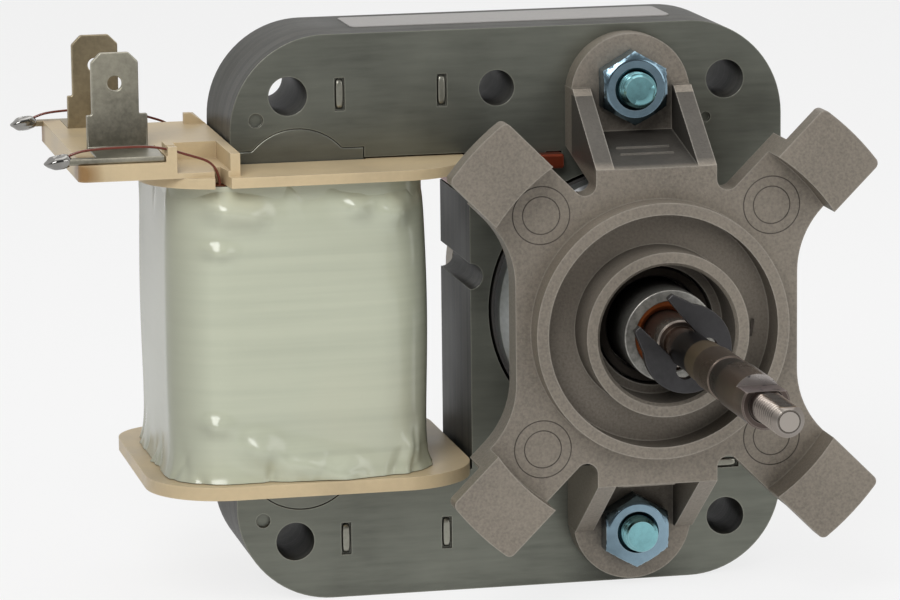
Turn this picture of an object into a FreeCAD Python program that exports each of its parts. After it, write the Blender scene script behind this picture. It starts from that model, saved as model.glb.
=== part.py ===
import FreeCAD, Part
import math
import os

import Sketcher

# An oven fan motor: a shaded-pole motor with a C-shaped lamination stack, a coil on a
# plastic bobbin at its open side, two die-cast brackets that carry the bearings, and a
# squirrel-cage rotor whose long shaft drives the fan.
#
# Frame: X to the right, Y away from the shaft end, Z up, in millimetres. The origin is the
# centre of the four frame holes, on the front face of the stack. The shaft lies along Y.

doc = FreeCAD.newDocument("oven_fan_motor")
sheet = doc.addObject("Spreadsheet::Sheet", "Dims")


class Size:
    """A length that carries its value and the sheet expression that gives it."""

    def __init__(self, value, text):
        self.value = float(value)
        self.text = text

    def __add__(self, other):
        other = as_size(other)
        return Size(self.value + other.value, "(%s + %s)" % (self.text, other.text))

    def __sub__(self, other):
        other = as_size(other)
        return Size(self.value - other.value, "(%s - %s)" % (self.text, other.text))

    def __mul__(self, other):
        return Size(self.value * other, "(%s * %r)" % (self.text, other))

    def __truediv__(self, other):
        return Size(self.value / other, "(%s / %r)" % (self.text, other))

    def __neg__(self):
        return Size(-self.value, "(-1 * %s)" % self.text)

    __radd__ = __add__
    __rmul__ = __mul__

    def leg(self, other):
        """The other short side of a right triangle with this long side."""
        text = "sqrt(%s * %s - %s * %s)" % (self.text, self.text, other.text, other.text)
        return Size(math.sqrt(self.value ** 2 - other.value ** 2), text)


def as_size(value):
    return value if isinstance(value, Size) else Size(value, "%r mm" % float(value))


ZERO = Size(0.0, "0 mm")
rows = 0


def dim(alias, value, note):
    """Write one driving dimension into the sheet and hand it back as a Size."""
    global rows
    rows += 1
    sheet.set("A%d" % rows, note)
    sheet.set("B%d" % rows, str(value))
    sheet.setAlias("B%d" % rows, alias)
    return Size(value, "(Dims.%s * 1 mm)" % alias)


# Lamination stack
leg_width = dim("leg_width", 18.1, "coil leg, left to right")
window_width = dim("window_width", 14.3, "coil window, left to right")
bridge = dim("bridge", 2.5, "thin bridge between the window and the bore")
bore_radius = dim("bore_radius", 19.0, "rotor bore radius")
side_wall = dim("side_wall", 2.9, "bore to the right side of the stack")
window_height = dim("window_height", 43.4, "coil window, bottom to top")
yoke = dim("yoke", 16.7, "yoke above and below the window")
core_depth = dim("core_depth", 19.0, "stack, front to back")
core_corner = dim("core_corner", 13.0, "stack corner radius")
hole_side = dim("hole_side", 7.9, "frame holes from the stack's sides")
hole_edge = dim("hole_edge", 8.1, "frame holes from the stack's top and bottom")
frame_hole = dim("frame_hole", 5.2, "frame hole diameter")
middle_hole = dim("middle_hole", 4.8, "middle hole diameter")
middle_hole_side = dim("middle_hole_side", 17.6, "middle holes to the left of the shaft")
bridge_notch = dim("bridge_notch", 1.75, "radius of the notch in each bridge")
bridge_notch_z = dim("bridge_notch_z", 4.8, "notch centre from the shaft axis")
leg_step = dim("leg_step", 1.4, "leg shoulder beyond the window")
tongue_radius = dim("tongue_radius", 8.0, "round tongue of the leg")
tongue_rise = dim("tongue_rise", 2.8, "tongue above the leg shoulder")
press_gap = dim("press_gap", 0.04, "gap left at pressed seats")
rivet_length = dim("rivet_length", 4.4, "interlock slot, bottom to top")
rivet_width = dim("rivet_width", 1.35, "interlock slot, left to right")
rivet_depth = dim("rivet_depth", 0.5, "interlock slot depth")
dot_diameter = dim("dot_diameter", 1.9, "round interlock mark")

# Bobbin, coil and terminals
flange_front = dim("flange_front", 11.6, "flange in front of the stack")
flange_left = dim("flange_left", 12.5, "flange to the left of the stack")
flange_thick = dim("flange_thick", 1.8, "lower flange thickness")
flange_thick_top = dim("flange_thick_top", 1.4, "upper flange thickness")
flange_gap = dim("flange_gap", 0.8, "flange to the bridge")
flange_fit = dim("flange_fit", 0.2, "flange to the window's top")
flange_corner = dim("flange_corner", 10.5, "flange corner radius at the front")
flange_corner_back = dim("flange_corner_back", 7.5, "flange corner radius at the back")
bobbin_wall = dim("bobbin_wall", 1.2, "bobbin tube wall")
bobbin_fit = dim("bobbin_fit", 0.25, "tube to the coil leg")
tape_left = dim("tape_left", 9.5, "taped coil to the left of the leg")
tape_clear = dim("tape_clear", 6.5, "taped coil to the bridge")
tape_front = dim("tape_front", 9.6, "taped coil in front of the stack")
tape_corner = dim("tape_corner", 8.0, "taped coil corner radius")
tape_thick = dim("tape_thick", 0.6, "tape wrap thickness")
tape_gap = dim("tape_gap", 0.1, "coil and tape to their neighbours")
block_length = dim("block_length", 21.2, "terminal block, left to right")
block_front = dim("block_front", 10.0, "terminal block in front of the stack")
block_height = dim("block_height", 3.0, "terminal block height")
block_gap = dim("block_gap", 0.3, "terminal block to the stack's side")
block_floor = dim("block_floor", 0.7, "floor between the walls of the block")
fin_thick = dim("fin_thick", 1.3, "fin beside the stack")
fin_front = dim("fin_front", 5.2, "fin in front of the stack")
fin_rise = dim("fin_rise", 1.5, "post at the fin's back, above the block")
stop_rise = dim("stop_rise", 1.2, "stop beside a terminal foot, above the block")
stop_depth = dim("stop_depth", 5.4, "stop, front to back")
stop_gap = dim("stop_gap", 0.25, "gap between a terminal foot and its stop")
vee_depth = dim("vee_depth", 5.45, "reach of the vee cut from the edge of the flange")
tab_width = dim("tab_width", 6.3, "blade terminal width")
tab_thick = dim("tab_thick", 0.8, "blade terminal thickness")
tab_height = dim("tab_height", 8.2, "blade above its shoulders")
tab_base_width = dim("tab_base_width", 8.1, "terminal base width")
tab_base_height = dim("tab_base_height", 5.2, "terminal base height")
tab_inset = dim("tab_inset", 6.3, "blade centre from the block's left end")
tab_hole = dim("tab_hole", 1.9, "hole in the blade")
foot_depth = dim("foot_depth", 9.4, "terminal foot, front to back")
tail_length = dim("tail_length", 4.4, "solder tail beyond the block")
tail_width = dim("tail_width", 1.6, "solder tail width")
wire = dim("wire", 0.45, "magnet wire diameter")

# Shading rings
ring_bar = dim("ring_bar", 2.0, "shading ring bar, square")
ring_fit = dim("ring_fit", 0.1, "ring bar to its slot")
ring_near = dim("ring_near", 20.6, "upper ring legs at the bridge, from the shaft axis")
ring_drop = dim("ring_drop", 1.4, "upper outer ring below the window's top")
ring_upper_reach = dim("ring_upper_reach", 9.8, "its far leg, from the shaft axis")
ring_step = dim("ring_step", 4.0, "outer ring to inner ring")
ring_step_in = dim("ring_step_in", 5.4, "far legs of the upper rings, one to the other")
ring_lower_start = dim("ring_lower_start", 9.6, "its near leg, from the shaft axis")
ring_lower_end = dim("ring_lower_end", 15.0, "its far leg, from the shaft axis")
ring_lower_shift = dim("ring_lower_shift", 3.2, "lower rings, one to the other")
ring_lower_lift = dim("ring_lower_lift", 1.9, "lower outer ring above the window's bottom")
ring_lower_step = dim("ring_lower_step", 2.3, "lower rings, from one height to the other")

# Front bracket
lug_thick = dim("lug_thick", 3.4, "lug plate thickness")
lug_radius = dim("lug_radius", 8.2, "lug end radius")
lug_drop = dim("lug_drop", 1.1, "lug end centre below the bolt")
stud_diameter = dim("stud_diameter", 4.8, "through bolt diameter")
stud_fit = dim("stud_fit", 0.2, "bolt to its hole, all round")
foot_width = dim("foot_width", 16.4, "bracket foot, left to right")
foot_rib = dim("foot_rib", 2.5, "side rib of a foot")
rib_out = dim("rib_out", 0.9, "top of a side rib, in front of the lug")
foot_web = dim("foot_web", 2.2, "web between the side ribs")
foot_drop = dim("foot_drop", 6.0, "web at the lug, below the bolt")
foot_slope = dim("foot_slope", 3.0, "fall of the web from the lug to the hub plate")
hub_side = dim("hub_side", 19.2, "hub plate edge at the sides, from the axis")
hub_stand = dim("hub_stand", 17.3, "hub plate in front of the stack")
hub_thick = dim("hub_thick", 4.0, "hub plate thickness")
arm_width = dim("arm_width", 10.8, "bracket arm width")
arm_reach = dim("arm_reach", 29.2, "arm end under its pad, from the shaft axis")
arm_blend = dim("arm_blend", 12.0, "blend between the arms at each side")
pad_stand = dim("pad_stand", 5.1, "mounting pads in front of the hub plate")
pad_thick = dim("pad_thick", 3.0, "mounting pad thickness")
pad_inner = dim("pad_inner", 27.4, "mounting pad inner radius")
pad_outer = dim("pad_outer", 36.0, "mounting pad outer radius")
pad_corner = dim("pad_corner", 0.9, "mounting pad corner radius")
riser_wall = dim("riser_wall", 2.6, "wall between an arm and its pad")
rim_outer = dim("rim_outer", 17.15, "raised rim outer radius")
rim_inner = dim("rim_inner", 15.55, "raised rim inner radius")
rim_rise = dim("rim_rise", 3.5, "raised rim above the hub plate")
dish_depth = dim("dish_depth", 0.9, "ring floor below the hub plate")
boss_outer = dim("boss_outer", 11.0, "bearing boss outer radius")
boss_inner = dim("boss_inner", 9.2, "bearing boss inner radius")
boss_rise = dim("boss_rise", 5.8, "bearing boss above the hub plate")
boss_bevel = dim("boss_bevel", 0.4, "bevel inside the bearing boss")
moat_depth = dim("moat_depth", 7.0, "ledge in the moat, below the bearing boss")
moat_ledge = dim("moat_ledge", 1.2, "width of the ledge in the moat")
pit_depth = dim("pit_depth", 10.7, "bottom of the moat, below the bearing boss")
back_boss = dim("back_boss", 9.0, "boss behind the hub plate, radius")
back_boss_rise = dim("back_boss_rise", 3.3, "boss behind the hub plate")
step_height = dim("step_height", 0.35, "fine ridge on the web")

# Bearings and rotor
journal = dim("journal", 3.1, "shaft journal and fan seat radius")
journal_fit = dim("journal_fit", 0.03, "journal to its bush")
bush_wall = dim("bush_wall", 1.5, "bush wall")
bush_length = dim("bush_length", 11.0, "bush length")
bush_recess = dim("bush_recess", 1.6, "bush face inside its sleeve")
sleeve_outer = dim("sleeve_outer", 6.2, "bearing sleeve outer radius")
sleeve_out = dim("sleeve_out", 0.9, "sleeve beyond the bearing boss")
felt_depth = dim("felt_depth", 3.0, "oil felt depth")
felt_gap = dim("felt_gap", 0.3, "oil felt to the walls")
air_gap = dim("air_gap", 0.4, "rotor to the bore")
cage_outer = dim("cage_outer", 18.2, "cage end ring outer radius")
cage_inner = dim("cage_inner", 11.5, "cage end ring inner radius")
cage_rise = dim("cage_rise", 5.0, "cage end ring beyond the stack")
cage_bars = 17
bar_deep = dim("bar_deep", 3.4, "cage bar, along the radius")
bar_wide = dim("bar_wide", 2.0, "cage bar, across the radius")
bar_reach = dim("bar_reach", 17.6, "outer side of the cage bars from the shaft axis")
washer_radius = dim("washer_radius", 4.3, "thrust washer radius")
washer_thick = dim("washer_thick", 0.8, "thrust washer thickness")
end_play = dim("end_play", 0.25, "end play at each thrust washer")
core_seat = dim("core_seat", 3.6, "shaft radius inside the rotor")
groove_start = dim("groove_start", 29.3, "clip groove from the stack")
groove_length = dim("groove_length", 4.2, "clip groove length")
groove_radius = dim("groove_radius", 2.35, "clip groove radius")
neck_radius = dim("neck_radius", 2.5, "dark neck radius")
neck_length = dim("neck_length", 7.5, "dark neck length")
collar_radius = dim("collar_radius", 2.7, "collar radius")
collar_length = dim("collar_length", 5.2, "collar length")
body_length = dim("body_length", 7.1, "length between the collar and the relief")
relief_length = dim("relief_length", 4.2, "relief groove length")
relief_radius = dim("relief_radius", 2.8, "relief groove radius")
seat_length = dim("seat_length", 12.3, "fan seat length")
body_radius = dim("body_radius", 2.95, "shaft radius between the collar and the relief")
flat_length = dim("flat_length", 4.2, "flat at the seat's end")
flat_height = dim("flat_height", 1.7, "flat above the shaft axis")
thread_radius = dim("thread_radius", 2.08, "shaft thread radius")
thread_root = dim("thread_root", 1.65, "undercut behind the thread")
undercut_length = dim("undercut_length", 1.0, "undercut length")
thread_length = dim("thread_length", 9.0, "thread length")
tip_bevel = dim("tip_bevel", 0.7, "shaft tip bevel")
clip_play = dim("clip_play", 0.5, "clip to the front of its groove")
clip_thick = dim("clip_thick", 1.2, "clip thickness")
clip_radius = dim("clip_radius", 5.85, "clip outer radius")
clip_tip = dim("clip_tip", 6.7, "clip prongs from the shaft axis")
clip_mouth = dim("clip_mouth", 5.1, "clip mouth width")
clip_fit = dim("clip_fit", 0.05, "clip to its groove")
shaft_inset = dim("shaft_inset", 0.4, "shaft end inside the rear bush")

# Fasteners
nut_flats = dim("nut_flats", 8.7, "nut across flats")
nut_height = dim("nut_height", 3.2, "nut height")
bolt_out = dim("bolt_out", 2.0, "bolt beyond the nut")
bolt_head = dim("bolt_head", 3.4, "bolt head height")
label_left = dim("label_left", -20.2, "label from the pattern centre")
label_length = dim("label_length", 44.2, "label, left to right")
label_front = dim("label_front", 6.0, "label behind the stack front")
label_width = dim("label_width", 10.2, "label, front to back")
label_thick = dim("label_thick", 0.12, "label thickness")

doc.recompute()

# Places that follow from the dimensions.
core_width = leg_width + window_width + bridge + bore_radius * 2 + side_wall
core_height = window_height + yoke * 2
core_left = -core_width / 2
core_right = core_width / 2
hole_pitch_x = core_width - hole_side * 2
hole_pitch_z = core_height - hole_edge * 2
stud_z = hole_pitch_z / 2
leg_right = core_left + leg_width
leg_middle = core_left + leg_width / 2
window_right = leg_right + window_width
window_top = window_height / 2
leg_seat = window_top + leg_step
shaft_offset = window_right + bridge + bore_radius
middle_hole_x = shaft_offset - middle_hole_side
ring_upper_rise = window_top - ring_drop
tab_pitch = core_depth
lug_centre = stud_z - lug_drop
foot_edge = stud_z - foot_drop
hub_top = foot_edge - foot_slope
groove_end = groove_start + groove_length
clip_front = groove_end - clip_play
collar_start = groove_end + neck_length
body_start = collar_start + collar_length
relief_start = body_start + body_length
seat_start = relief_start + relief_length
seat_end = seat_start + seat_length
flat_start = seat_end - flat_length
thread_start = seat_end + undercut_length
tip = thread_start + thread_length
shaft_rear = core_depth + hub_stand + boss_rise + sleeve_out - bush_recess - shaft_inset
nodes = []


def new_body(label, at_shaft=False):
    """Start a sub-part, either in the frame of the stack or on the shaft axis."""
    body = doc.addObject("PartDesign::Body", label)
    body.Label = label
    if at_shaft:
        body.Placement = FreeCAD.Placement(FreeCAD.Vector(shaft_offset.value, 0, 0), FreeCAD.Rotation())
        body.setExpression("Placement.Base.x", shaft_offset.text)
    nodes.append(body)
    return body


def origin_plane(body, role):
    for feature in body.Origin.OriginFeatures:
        if feature.Role == role:
            return feature
    raise RuntimeError("no plane " + role)


def new_sketch(body, name, role, offset=ZERO, turn=0.0):
    """A sketch on one of the body's own origin planes, moved along the plane's normal.

    XZ_Plane looks along +Y and its normal is -Y, so offset is how far in front of it.
    """
    sketch = body.newObject("Sketcher::SketchObject", name)
    sketch.AttachmentSupport = [(origin_plane(body, role), "")]
    sketch.MapMode = "FlatFace"
    spin = FreeCAD.Rotation(FreeCAD.Vector(0, 0, 1), turn)
    sketch.AttachmentOffset = FreeCAD.Placement(FreeCAD.Vector(0, 0, offset.value), spin)
    sketch.setExpression("AttachmentOffset.Base.z", offset.text)
    return sketch


def pin_point(sketch, geo, pos, point):
    """Hold one point of a sketch at a pair of sizes measured from the sketch's origin."""
    for kind, axis, size in (("DistanceX", -2, point[0]), ("DistanceY", -1, point[1])):
        if size.text == "0 mm":
            sketch.addConstraint(Sketcher.Constraint("PointOnObject", geo, pos, axis))
            continue
        index = sketch.addConstraint(Sketcher.Constraint(kind, -1, 1, geo, pos, size.value))
        sketch.setExpression("Constraints[%d]" % index, size.text)


def polygon(sketch, points):
    """Add a closed polygon whose corners are pairs of sizes."""
    first = sketch.GeometryCount
    count = len(points)
    spots = [FreeCAD.Vector(x.value, y.value, 0) for x, y in points]
    for i in range(count):
        sketch.addGeometry(Part.LineSegment(spots[i], spots[(i + 1) % count]), False)
    for i in range(count):
        nxt = first + (i + 1) % count
        sketch.addConstraint(Sketcher.Constraint("Coincident", first + i, 2, nxt, 1))
    for i in range(count):
        pin_point(sketch, first + i, 1, points[i])
    return sketch


def box_outline(sketch, x0, x1, y0, y1):
    return polygon(sketch, [(x0, y0), (x1, y0), (x1, y1), (x0, y1)])


def circle(sketch, centre, radius):
    """Add a circle with its centre at a pair of sizes."""
    spot = FreeCAD.Vector(centre[0].value, centre[1].value, 0)
    geo = sketch.addGeometry(Part.Circle(spot, FreeCAD.Vector(0, 0, 1), radius.value), False)
    index = sketch.addConstraint(Sketcher.Constraint("Radius", geo, radius.value))
    sketch.setExpression("Constraints[%d]" % index, radius.text)
    pin_point(sketch, geo, 3, centre)
    return sketch


def sector(sketch, inner, outer, half):
    """Add a block bounded by two arcs round the origin and two sides parallel to X."""
    spots = {}
    for name, radius in (("inner", inner), ("outer", outer)):
        x = radius.leg(half)
        for side in (-1, 1):
            spots[name, side] = FreeCAD.Vector(x.value, side * half.value, 0)
    low = sketch.addGeometry(Part.LineSegment(spots["inner", -1], spots["outer", -1]), False)
    mid = FreeCAD.Vector(outer.value, 0, 0)
    far = sketch.addGeometry(Part.Arc(spots["outer", -1], mid, spots["outer", 1]), False)
    high = sketch.addGeometry(Part.LineSegment(spots["outer", 1], spots["inner", 1]), False)
    mid = FreeCAD.Vector(inner.value, 0, 0)
    near = sketch.addGeometry(Part.Arc(spots["inner", -1], mid, spots["inner", 1]), False)
    sketch.addConstraint(Sketcher.Constraint("Coincident", far, 3, -1, 1))
    sketch.addConstraint(Sketcher.Constraint("Coincident", near, 3, -1, 1))
    sketch.addConstraint(Sketcher.Constraint("Coincident", low, 2, far, 1))
    sketch.addConstraint(Sketcher.Constraint("Coincident", far, 2, high, 1))
    sketch.addConstraint(Sketcher.Constraint("Coincident", high, 2, near, 2))
    sketch.addConstraint(Sketcher.Constraint("Coincident", near, 1, low, 1))
    sketch.addConstraint(Sketcher.Constraint("Horizontal", low))
    sketch.addConstraint(Sketcher.Constraint("Horizontal", high))
    for geo, radius in ((far, outer), (near, inner)):
        index = sketch.addConstraint(Sketcher.Constraint("Radius", geo, radius.value))
        sketch.setExpression("Constraints[%d]" % index, radius.text)
    for geo, size in ((low, -half), (high, half)):
        index = sketch.addConstraint(Sketcher.Constraint("DistanceY", -1, 1, geo, 1, size.value))
        sketch.setExpression("Constraints[%d]" % index, size.text)
    return sketch


def pad(body, sketch, length, name):
    """Raise a sketch along its plane's normal."""
    feature = body.newObject("PartDesign::Pad", name)
    feature.Profile = sketch
    feature.Length = length.value
    feature.setExpression("Length", length.text)
    doc.recompute()
    return feature


def pocket(body, sketch, length, name):
    """Cut a sketch against its plane's normal, and prove that it removes material."""
    before = body.Shape.Volume
    feature = body.newObject("PartDesign::Pocket", name)
    feature.Profile = sketch
    feature.Length = length.value
    feature.setExpression("Length", length.text)
    doc.recompute()
    if body.Shape.Volume >= before - 1e-6:
        raise RuntimeError("nothing cut by " + name)
    return feature


def turned(body, sketch, name):
    """Turn a profile of (radius, y) pairs round the Y axis."""
    feature = body.newObject("PartDesign::Revolution", name)
    feature.Profile = sketch
    feature.ReferenceAxis = (sketch, ["V_Axis"])
    feature.Angle = 360.0
    doc.recompute()
    return feature


def polar(body, originals, axis, count, name):
    """Repeat features round the Y axis of the body."""
    feature = body.newObject("PartDesign::PolarPattern", name)
    feature.Originals = originals
    feature.Axis = (axis, ["N_Axis"])
    feature.Angle = 360.0
    feature.Occurrences = count
    body.Tip = feature
    doc.recompute()
    return feature


def mirrored(body, originals, plane_role, name):
    feature = body.newObject("PartDesign::Mirrored", name)
    feature.Originals = originals
    feature.MirrorPlane = (origin_plane(body, plane_role), [""])
    body.Tip = feature
    doc.recompute()
    return feature


def straight(edge, direction):
    """True where an edge is straight and runs along a direction."""
    if edge.Curve.TypeId != "Part::GeomLine":
        return False
    return edge.Curve.Direction.cross(FreeCAD.Vector(*direction)).Length < 1e-6


def fillet(body, radius, pick, name):
    """Round the edges of the tip that the pick function accepts."""
    base = body.Tip
    names = []
    for i, edge in enumerate(base.Shape.Edges):
        if pick(edge):
            names.append("Edge%d" % (i + 1))
    if not names:
        raise RuntimeError("no edge for " + name)
    feature = body.newObject("PartDesign::Fillet", name)
    feature.Base = (base, names)
    feature.Radius = radius.value
    feature.setExpression("Radius", radius.text)
    doc.recompute()
    return feature


def near(value, size, slack=0.02):
    return abs(value - size.value) < slack


# Stator

def ring_places():
    """Left leg, right leg and height of each shading ring, from the shaft axis."""
    return {
        "shading_ring_upper_outer": (-ring_near, -ring_upper_reach, ring_upper_rise),
        "shading_ring_upper_inner": (-ring_near, -ring_upper_reach - ring_step_in,
                                     ring_upper_rise - ring_step),
        "shading_ring_lower_outer": (ring_lower_start, ring_lower_end, ring_lower_lift - window_top),
        "shading_ring_lower_inner": (ring_lower_start + ring_lower_shift,
                                     ring_lower_end + ring_lower_shift,
                                     ring_lower_lift + ring_lower_step - window_top),
    }


def make_stator_core():
    """C-shaped stack with the window open to the left, where the coil leg goes."""
    body = new_body("stator_core")
    outline = new_sketch(body, "core_outline", "XZ_Plane", -core_depth)
    top = core_height / 2
    box_outline(outline, core_left, core_right, -top, top)
    pad(body, outline, core_depth, "core_stack")
    fillet(body, core_corner, lambda e: straight(e, (0, 1, 0)), "core_corners")

    window = new_sketch(body, "window_outline", "XZ_Plane")
    box_outline(window, leg_right - press_gap, window_right, -window_top, window_top)
    pocket(body, window, core_depth, "window_cut")
    seat = new_sketch(body, "leg_seat_outline", "XZ_Plane")
    edge = leg_seat + press_gap
    box_outline(seat, core_left - bridge, leg_right + press_gap, -edge, edge)
    pocket(body, seat, core_depth, "leg_seat_cut")
    tongue_z = leg_seat + tongue_rise - tongue_radius
    for side in (1, -1):
        tongue = new_sketch(body, "tongue_seat_%d" % (2 - side), "XZ_Plane")
        circle(tongue, (leg_middle, tongue_z * side), tongue_radius + press_gap)
        pocket(body, tongue, core_depth, "tongue_seat_cut_%d" % (2 - side))

    bore = new_sketch(body, "bore_outline", "XZ_Plane")
    circle(bore, (shaft_offset, ZERO), bore_radius)
    pocket(body, bore, core_depth, "bore_cut")
    notches = new_sketch(body, "notch_outline", "XZ_Plane")
    circle(notches, (window_right, bridge_notch_z), bridge_notch)
    pocket(body, notches, core_depth, "notch_cut")
    notches = new_sketch(body, "notch_outline_right", "XZ_Plane")
    circle(notches, (core_right, -bridge_notch_z), bridge_notch)
    pocket(body, notches, core_depth, "notch_cut_right")

    holes = new_sketch(body, "frame_hole_outline", "XZ_Plane")
    for sx in (-0.5, 0.5):
        for sz in (-0.5, 0.5):
            circle(holes, (hole_pitch_x * sx, hole_pitch_z * sz), frame_hole / 2)
    for sz in (-0.5, 0.5):
        circle(holes, (middle_hole_x, hole_pitch_z * sz), middle_hole / 2)
    for sz in (-1, 1):
        circle(holes, (shaft_offset, stud_z * sz), stud_diameter / 2 + stud_fit)
    pocket(body, holes, core_depth, "frame_holes")

    half = ring_bar / 2 + ring_fit
    slots = new_sketch(body, "ring_slot_outline", "XZ_Plane")
    for left, right, level in ring_places().values():
        for x in (shaft_offset + left, shaft_offset + right):
            box_outline(slots, x - half, x + half, level - half, level + half)
    pocket(body, slots, core_depth, "ring_slots")

    marks = new_sketch(body, "interlock_outline", "XZ_Plane")
    for sz in (-1, 1):
        for x in (core_left + 14.9, core_left + 28.8):
            z = hole_pitch_z * (0.5 * sz)
            long = rivet_length / 2
            wide = rivet_width / 2
            box_outline(marks, x - wide, x + wide, z - long, z + long)
        circle(marks, (core_left + 3.55, leg_seat * sz + 4.1 * sz), dot_diameter / 2)
    for sz in (-1, 1):
        x = shaft_offset + 11.3
        z = 25.2 * sz
        circle(marks, (as_size(x), as_size(z)), rivet_width / 2)
    x = shaft_offset + 13.7
    z = -window_top - 1.1
    box_outline(marks, x - rivet_length / 2, x + rivet_length / 2, z - rivet_width / 2,
                z + rivet_width / 2)
    pocket(body, marks, rivet_depth, "interlock_marks")
    return body


def make_coil_leg():
    """Separate stack of the coil leg, with a round tongue at each end."""
    body = new_body("coil_leg")
    outline = new_sketch(body, "leg_outline", "XZ_Plane", -core_depth)
    box_outline(outline, core_left, leg_right, -leg_seat, leg_seat)
    pad(body, outline, core_depth, "leg_stack")
    tongue_z = leg_seat + tongue_rise - tongue_radius
    for side in (1, -1):
        tongue = new_sketch(body, "tongue_%d" % (2 - side), "XZ_Plane", -core_depth)
        circle(tongue, (leg_middle, tongue_z * side), tongue_radius)
        pad(body, tongue, core_depth, "tongue_stack_%d" % (2 - side))
    return body


def make_shading_ring(label, low, high, level):
    """Closed copper loop through two slots of a pole, square bar, lying on both faces."""
    body = new_body(label, at_shaft=True)
    half = ring_bar / 2
    frame = new_sketch(body, label + "_outline", "XZ_Plane", -core_depth - ring_bar)
    box_outline(frame, low - half, high + half, level - half, level + half)
    pad(body, frame, core_depth + ring_bar * 2, label + "_block")
    inside = new_sketch(body, label + "_inside", "XY_Plane", level + half)
    box_outline(inside, low + half, high - half, ZERO, core_depth)
    pocket(body, inside, ring_bar, label + "_opening")
    return body


# Bobbin and coil

def make_bobbin():
    """Moulded bobbin: tube, two flanges, terminal block and the fin beside the stack."""
    body = new_body("bobbin")
    inner_left = core_left - bobbin_fit
    inner_right = leg_right + bobbin_fit
    back = core_depth + bobbin_fit
    tube_top = window_top - flange_fit
    flange_left_x = core_left - flange_left
    flange_right_x = window_right - flange_gap
    flange_back = core_depth + flange_front

    tube = new_sketch(body, "tube_outline", "XY_Plane", -tube_top)
    box_outline(tube, inner_left - bobbin_wall, inner_right + bobbin_wall,
                -bobbin_fit - bobbin_wall, back + bobbin_wall)
    pad(body, tube, tube_top * 2, "tube_block")
    for side in (1, -1):
        thick = flange_thick_top if side > 0 else flange_thick
        level = tube_top - thick if side > 0 else -tube_top
        name = "upper" if side > 0 else "lower"
        flange = new_sketch(body, name + "_flange_outline", "XY_Plane", level)
        box_outline(flange, flange_left_x, flange_right_x, -flange_front, flange_back)
        pad(body, flange, thick, name + "_flange")
    fillet(body, flange_corner,
           lambda e: straight(e, (0, 0, 1)) and near(e.CenterOfMass.y, -flange_front),
           "flange_front_corners")
    fillet(body, flange_corner_back,
           lambda e: straight(e, (0, 0, 1)) and near(e.CenterOfMass.y, flange_back),
           "flange_back_corners")

    block_right = core_left - block_gap
    block_left = block_right - block_length
    block = new_sketch(body, "block_outline", "XY_Plane", tube_top)
    box_outline(block, block_left, block_right, -block_front, core_depth + block_front)
    pad(body, block, block_height, "terminal_block")
    fillet(body, bobbin_wall,
           lambda e: straight(e, (0, 0, 1)) and near(e.CenterOfMass.x, block_left),
           "block_corners")

    # Sunk floor between the terminal seats and the fin, where the lead wires run.
    floor_left = foot_sides()[1] + stop_gap + bobbin_wall
    floor_right = block_right - fin_thick
    floor = new_sketch(body, "floor_outline", "XY_Plane", tube_top + block_height)
    box_outline(floor, floor_left, floor_right, -block_front - bobbin_wall,
                core_depth + block_front + bobbin_wall)
    pocket(body, floor, block_height - block_floor, "block_floor_cut")
    shelf = new_sketch(body, "shelf_outline", "XY_Plane", tube_top + block_floor)
    box_outline(shelf, floor_left, floor_right, core_depth * 0.09, core_depth * 1.1)
    pad(body, shelf, block_height - block_floor, "rear_shelf")

    # The fin is level with the block and carries a small sloped post at its back.
    fin = new_sketch(body, "fin_outline", "YZ_Plane", block_right - fin_thick)
    top = tube_top + block_height
    box_outline(fin, -fin_front, core_depth, tube_top - flange_thick_top / 2, top)
    pad(body, fin, fin_thick, "side_fin")
    post = new_sketch(body, "post_outline", "XZ_Plane", -core_depth)
    post_left = block_right - fin_thick - fin_thick * 1.3
    polygon(post, [
        (post_left, top - block_floor), (block_right, top - block_floor),
        (block_right, top), (post_left + block_floor * 1.4, top + fin_rise),
        (post_left, top + fin_rise),
    ])
    pad(body, post, bobbin_wall, "fin_post")

    # Stops at the right ends of the terminal feet, grooved for the lead wires.
    for side in (1, -1):
        stop = new_sketch(body, "stop_outline_%d" % (2 - side), "XY_Plane", tube_top)
        start = -block_front if side > 0 else core_depth + block_front - stop_depth
        box_outline(stop, floor_left - bobbin_wall, floor_left, start, start + stop_depth)
        pad(body, stop, block_height + stop_rise, "foot_stop_%d" % (2 - side))
        groove = new_sketch(body, "stop_groove_%d" % (2 - side), "XY_Plane",
                            tube_top + block_height + stop_rise)
        level = wire_level(side)
        box_outline(groove, floor_left - bobbin_wall * 1.1, floor_left + bobbin_wall * 0.1,
                    level - wire * 0.8, level + wire * 0.8)
        pocket(body, groove, stop_rise * 0.9, "stop_groove_cut_%d" % (2 - side))

    # Vee cut where the lead wires drop from the block to the coil.
    for side in (1, -1):
        edge_y = -flange_front if side > 0 else flange_back
        vee = new_sketch(body, "wire_vee_%d" % (2 - side), "XY_Plane", tube_top + block_floor)
        vee_x = block_right - fin_thick - bobbin_wall
        polygon(vee, [
            (vee_x - bobbin_wall, edge_y - 1.0 * side),
            (vee_x + bobbin_wall, edge_y - 1.0 * side),
            (vee_x + bobbin_wall * 0.4, edge_y + vee_depth * side),
            (vee_x - bobbin_wall * 0.4, edge_y + vee_depth * side),
        ] if side > 0 else [
            (vee_x - bobbin_wall, edge_y + 1.0),
            (vee_x - bobbin_wall * 0.4, edge_y - vee_depth),
            (vee_x + bobbin_wall * 0.4, edge_y - vee_depth),
            (vee_x + bobbin_wall, edge_y + 1.0),
        ])
        pocket(body, vee, flange_thick_top + block_floor * 1.5, "wire_vee_cut_%d" % (2 - side))

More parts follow.
